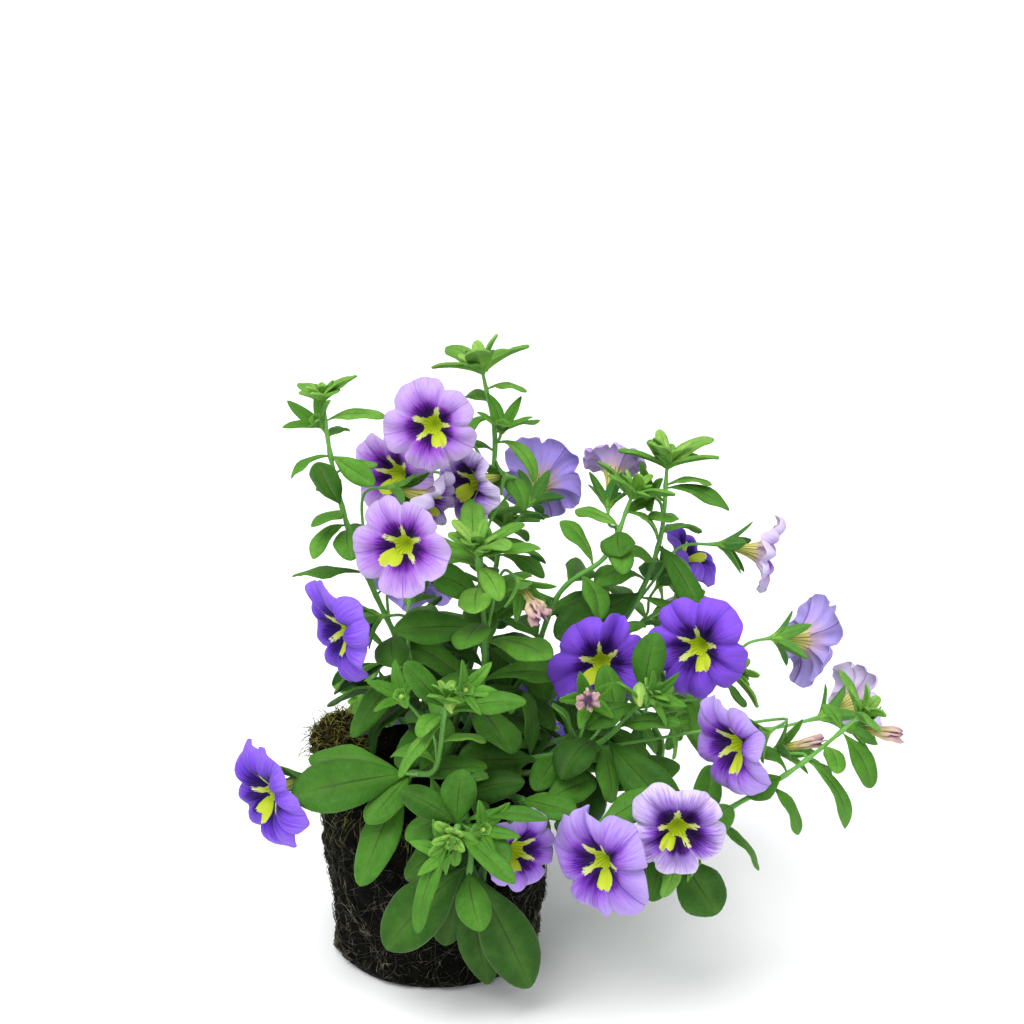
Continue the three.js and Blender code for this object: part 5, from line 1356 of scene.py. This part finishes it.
# each kind of blade's width, length and youth as shares of the rule's, and the shoots that differ
FULLER = {"leaf": (1.14, 1.05, 0.9), "crown": (1.6, 1.42, 0.9), "sepal": (1.15, 1, 1)}
UNLIKE = {("leaf", "front_low"): (1.14, 1.05, 0.5), ("leaf", "front"): (1.14, 1.05, 0.55),
          ("leaf", "right_trail"): (1.14, 1.05, 0.75), ("crown", "front"): (1.9, 1.3, 0.5),
          ("crown", "right_trail"): (2.2, 1.75, 0.9)}
UPPER, UNDER, STEM, BUD_SKIN = range(4)  # slots of a shoot's materials
STEM_SIDES, STALK_STEPS, CUP_SIDES, OVARY_SIDES = 10, 24, 30, 16
CUP_RIB, BUD_RIB = 0.08, 0.07  # depth of their ribs as a share of the radius
STALK_GIRTH, STALK_FLARE, STALK_YOUTH = 0.62, 0.5, 0.8

for stem in stems.values():
    skin = Skin()
    path = stem_path(stem)
    radius = stem_radius(stem, path)
    skin.add(hoops(path, radius, STEM_SIDES), slot=STEM, youth=np.linspace(0, 1, len(path))[:, None])
    down_on_path(path[2:], radius[2:], STEM_HAIRS * len(path), STEM_DOWN)
    for stalk in stem["stalks"]:
        t = np.linspace(0, 1, STALK_STEPS)
        line, girth = along(stalk, t), STALK_GIRTH + STALK_FLARE * np.clip((t - 0.9) / 0.1, 0, 1)
        skin.add(hoops(line, girth, STEM_SIDES), slot=STEM, youth=STALK_YOUTH)
        down_on_path(line, girth, STALK_HAIRS, STALK_DOWN)
    for kind, how in BLADES.items():
        wider, longer, older = UNLIKE.get((kind, stem["name"]), FULLER[kind])
        leaves = [b | dict(width=b["width"] * wider, length=b["length"] * longer, youth=b["youth"] * older)
                  for b in stem["blades"] if b["kind"] == kind]
        if kind == "crown":
            leaves += heart_leaves(stem)
        if leaves:
            loop, uv, under, youth, frames = blade_skins(leaves, kind)
            youth = youth + chance.uniform(-0.1, 0.1, (len(leaves), 1, 1))
            skin.add(loop, uv, np.where(under, UNDER, UPPER), youth)
            if kind != "leaf":
                down_on_edges(frames, how["curl"], BLADE_HAIRS, BLADE_DOWN)
    for seat in stem["calyces"]:
        skin.add(turned(seat, CUP, CUP_SIDES, LOBES, -CUP_RIB, seat["roll"]), slot=UNDER, youth=STALK_YOUTH)
        if seat["kind"] == "calyx":
            skin.add(turned(seat, OVARY, OVARY_SIDES), slot=BUD_SKIN)
    for seat in stem["buds"]:
        skin.add(turned(seat, BUD, CUP_SIDES, LOBES, BUD_RIB), slot=BUD_SKIN)
    skin.piece("shoot_" + stem["name"], [upper_side, under_side, stem_finish, bud_finish], "foliage",
               ["stem_" + stem["name"]])
down.piece("plant_down", [down_finish], "foliage")

for bloom in blooms:
    skin, shade = Skin(), bloom["shade"]
    if bloom["kind"] == "flower":
        skin.add(*corolla(bloom))
        skin.piece(f"petals_{bloom['number']:02d}", [faces_of[shade], backs_of[shade], tube_finish], "petals",
                   [bloom["name"]])
    else:
        places, fold = withered(bloom)
        skin.add(places, youth=fold)
        skin.piece(f"withered_{bloom['number']:02d}", [withered_finish], "withered", [bloom["name"]])

# ---------------------------------------------------------------- floor, light and camera
FLOOR = 6  # half of its side, m
SKY, SKY_STRENGTH = (0.96, 0.98, 1.0, 1.0), 0.52
# name, bearing, lift and spread in degrees, power
LIGHTS = [("key", -30, 60, 45, 2.9), ("side", 60, 55, 50, 0.3), ("front", 12, 16, 50, 0.7),
          ("back", 165, 45, 50, 0.5)]
CAMERA_AT, CAMERA_DOWN = (0.03087, -1.45253, 0.71946), 20  # m, and degrees below level
SENSOR, FOCAL_PIXELS, IMAGE_PIXELS = 36, 3900, 1024

floor = bpy.data.meshes.new("floor")
floor.from_pydata([(-FLOOR, -FLOOR, 0), (FLOOR, -FLOOR, 0), (FLOOR, FLOOR, 0), (-FLOOR, FLOOR, 0)], [],
                  [(0, 1, 2, 3)])
floor = bpy.data.objects.new("floor", floor)
bpy.context.scene.collection.objects.link(floor)
pale, add = started("pale_floor")
finished(add, "#ffffff", 0.8)
floor.data.materials.append(pale)

world = bpy.data.worlds.new("studio")
world.use_nodes = True
background = world.node_tree.nodes["Background"].inputs
background["Color"].default_value, background["Strength"].default_value = SKY, SKY_STRENGTH
bpy.context.scene.world = world


def soft_light(name, bearing, lift, spread_of, power):
    """A broad distant light from a bearing and a lift, its shadows softened by its spread."""
    light = bpy.data.lights.new(name, "SUN")
    light.angle, light.energy = math.radians(spread_of), power
    lamp = bpy.data.objects.new(name, light)
    bpy.context.scene.collection.objects.link(lamp)
    lamp.rotation_euler = (math.radians(90 - lift), 0, math.radians(bearing))


for light in LIGHTS:
    soft_light(*light)

camera = bpy.data.objects.new("camera", bpy.data.cameras.new("camera"))
bpy.context.scene.collection.objects.link(camera)
camera.location = CAMERA_AT
camera.rotation_euler = (math.radians(90 - CAMERA_DOWN), 0, 0)
camera.data.sensor_width = SENSOR
camera.data.lens = SENSOR * FOCAL_PIXELS / IMAGE_PIXELS
bpy.context.scene.camera = camera
bpy.context.scene.view_settings.view_transform = "Standard"
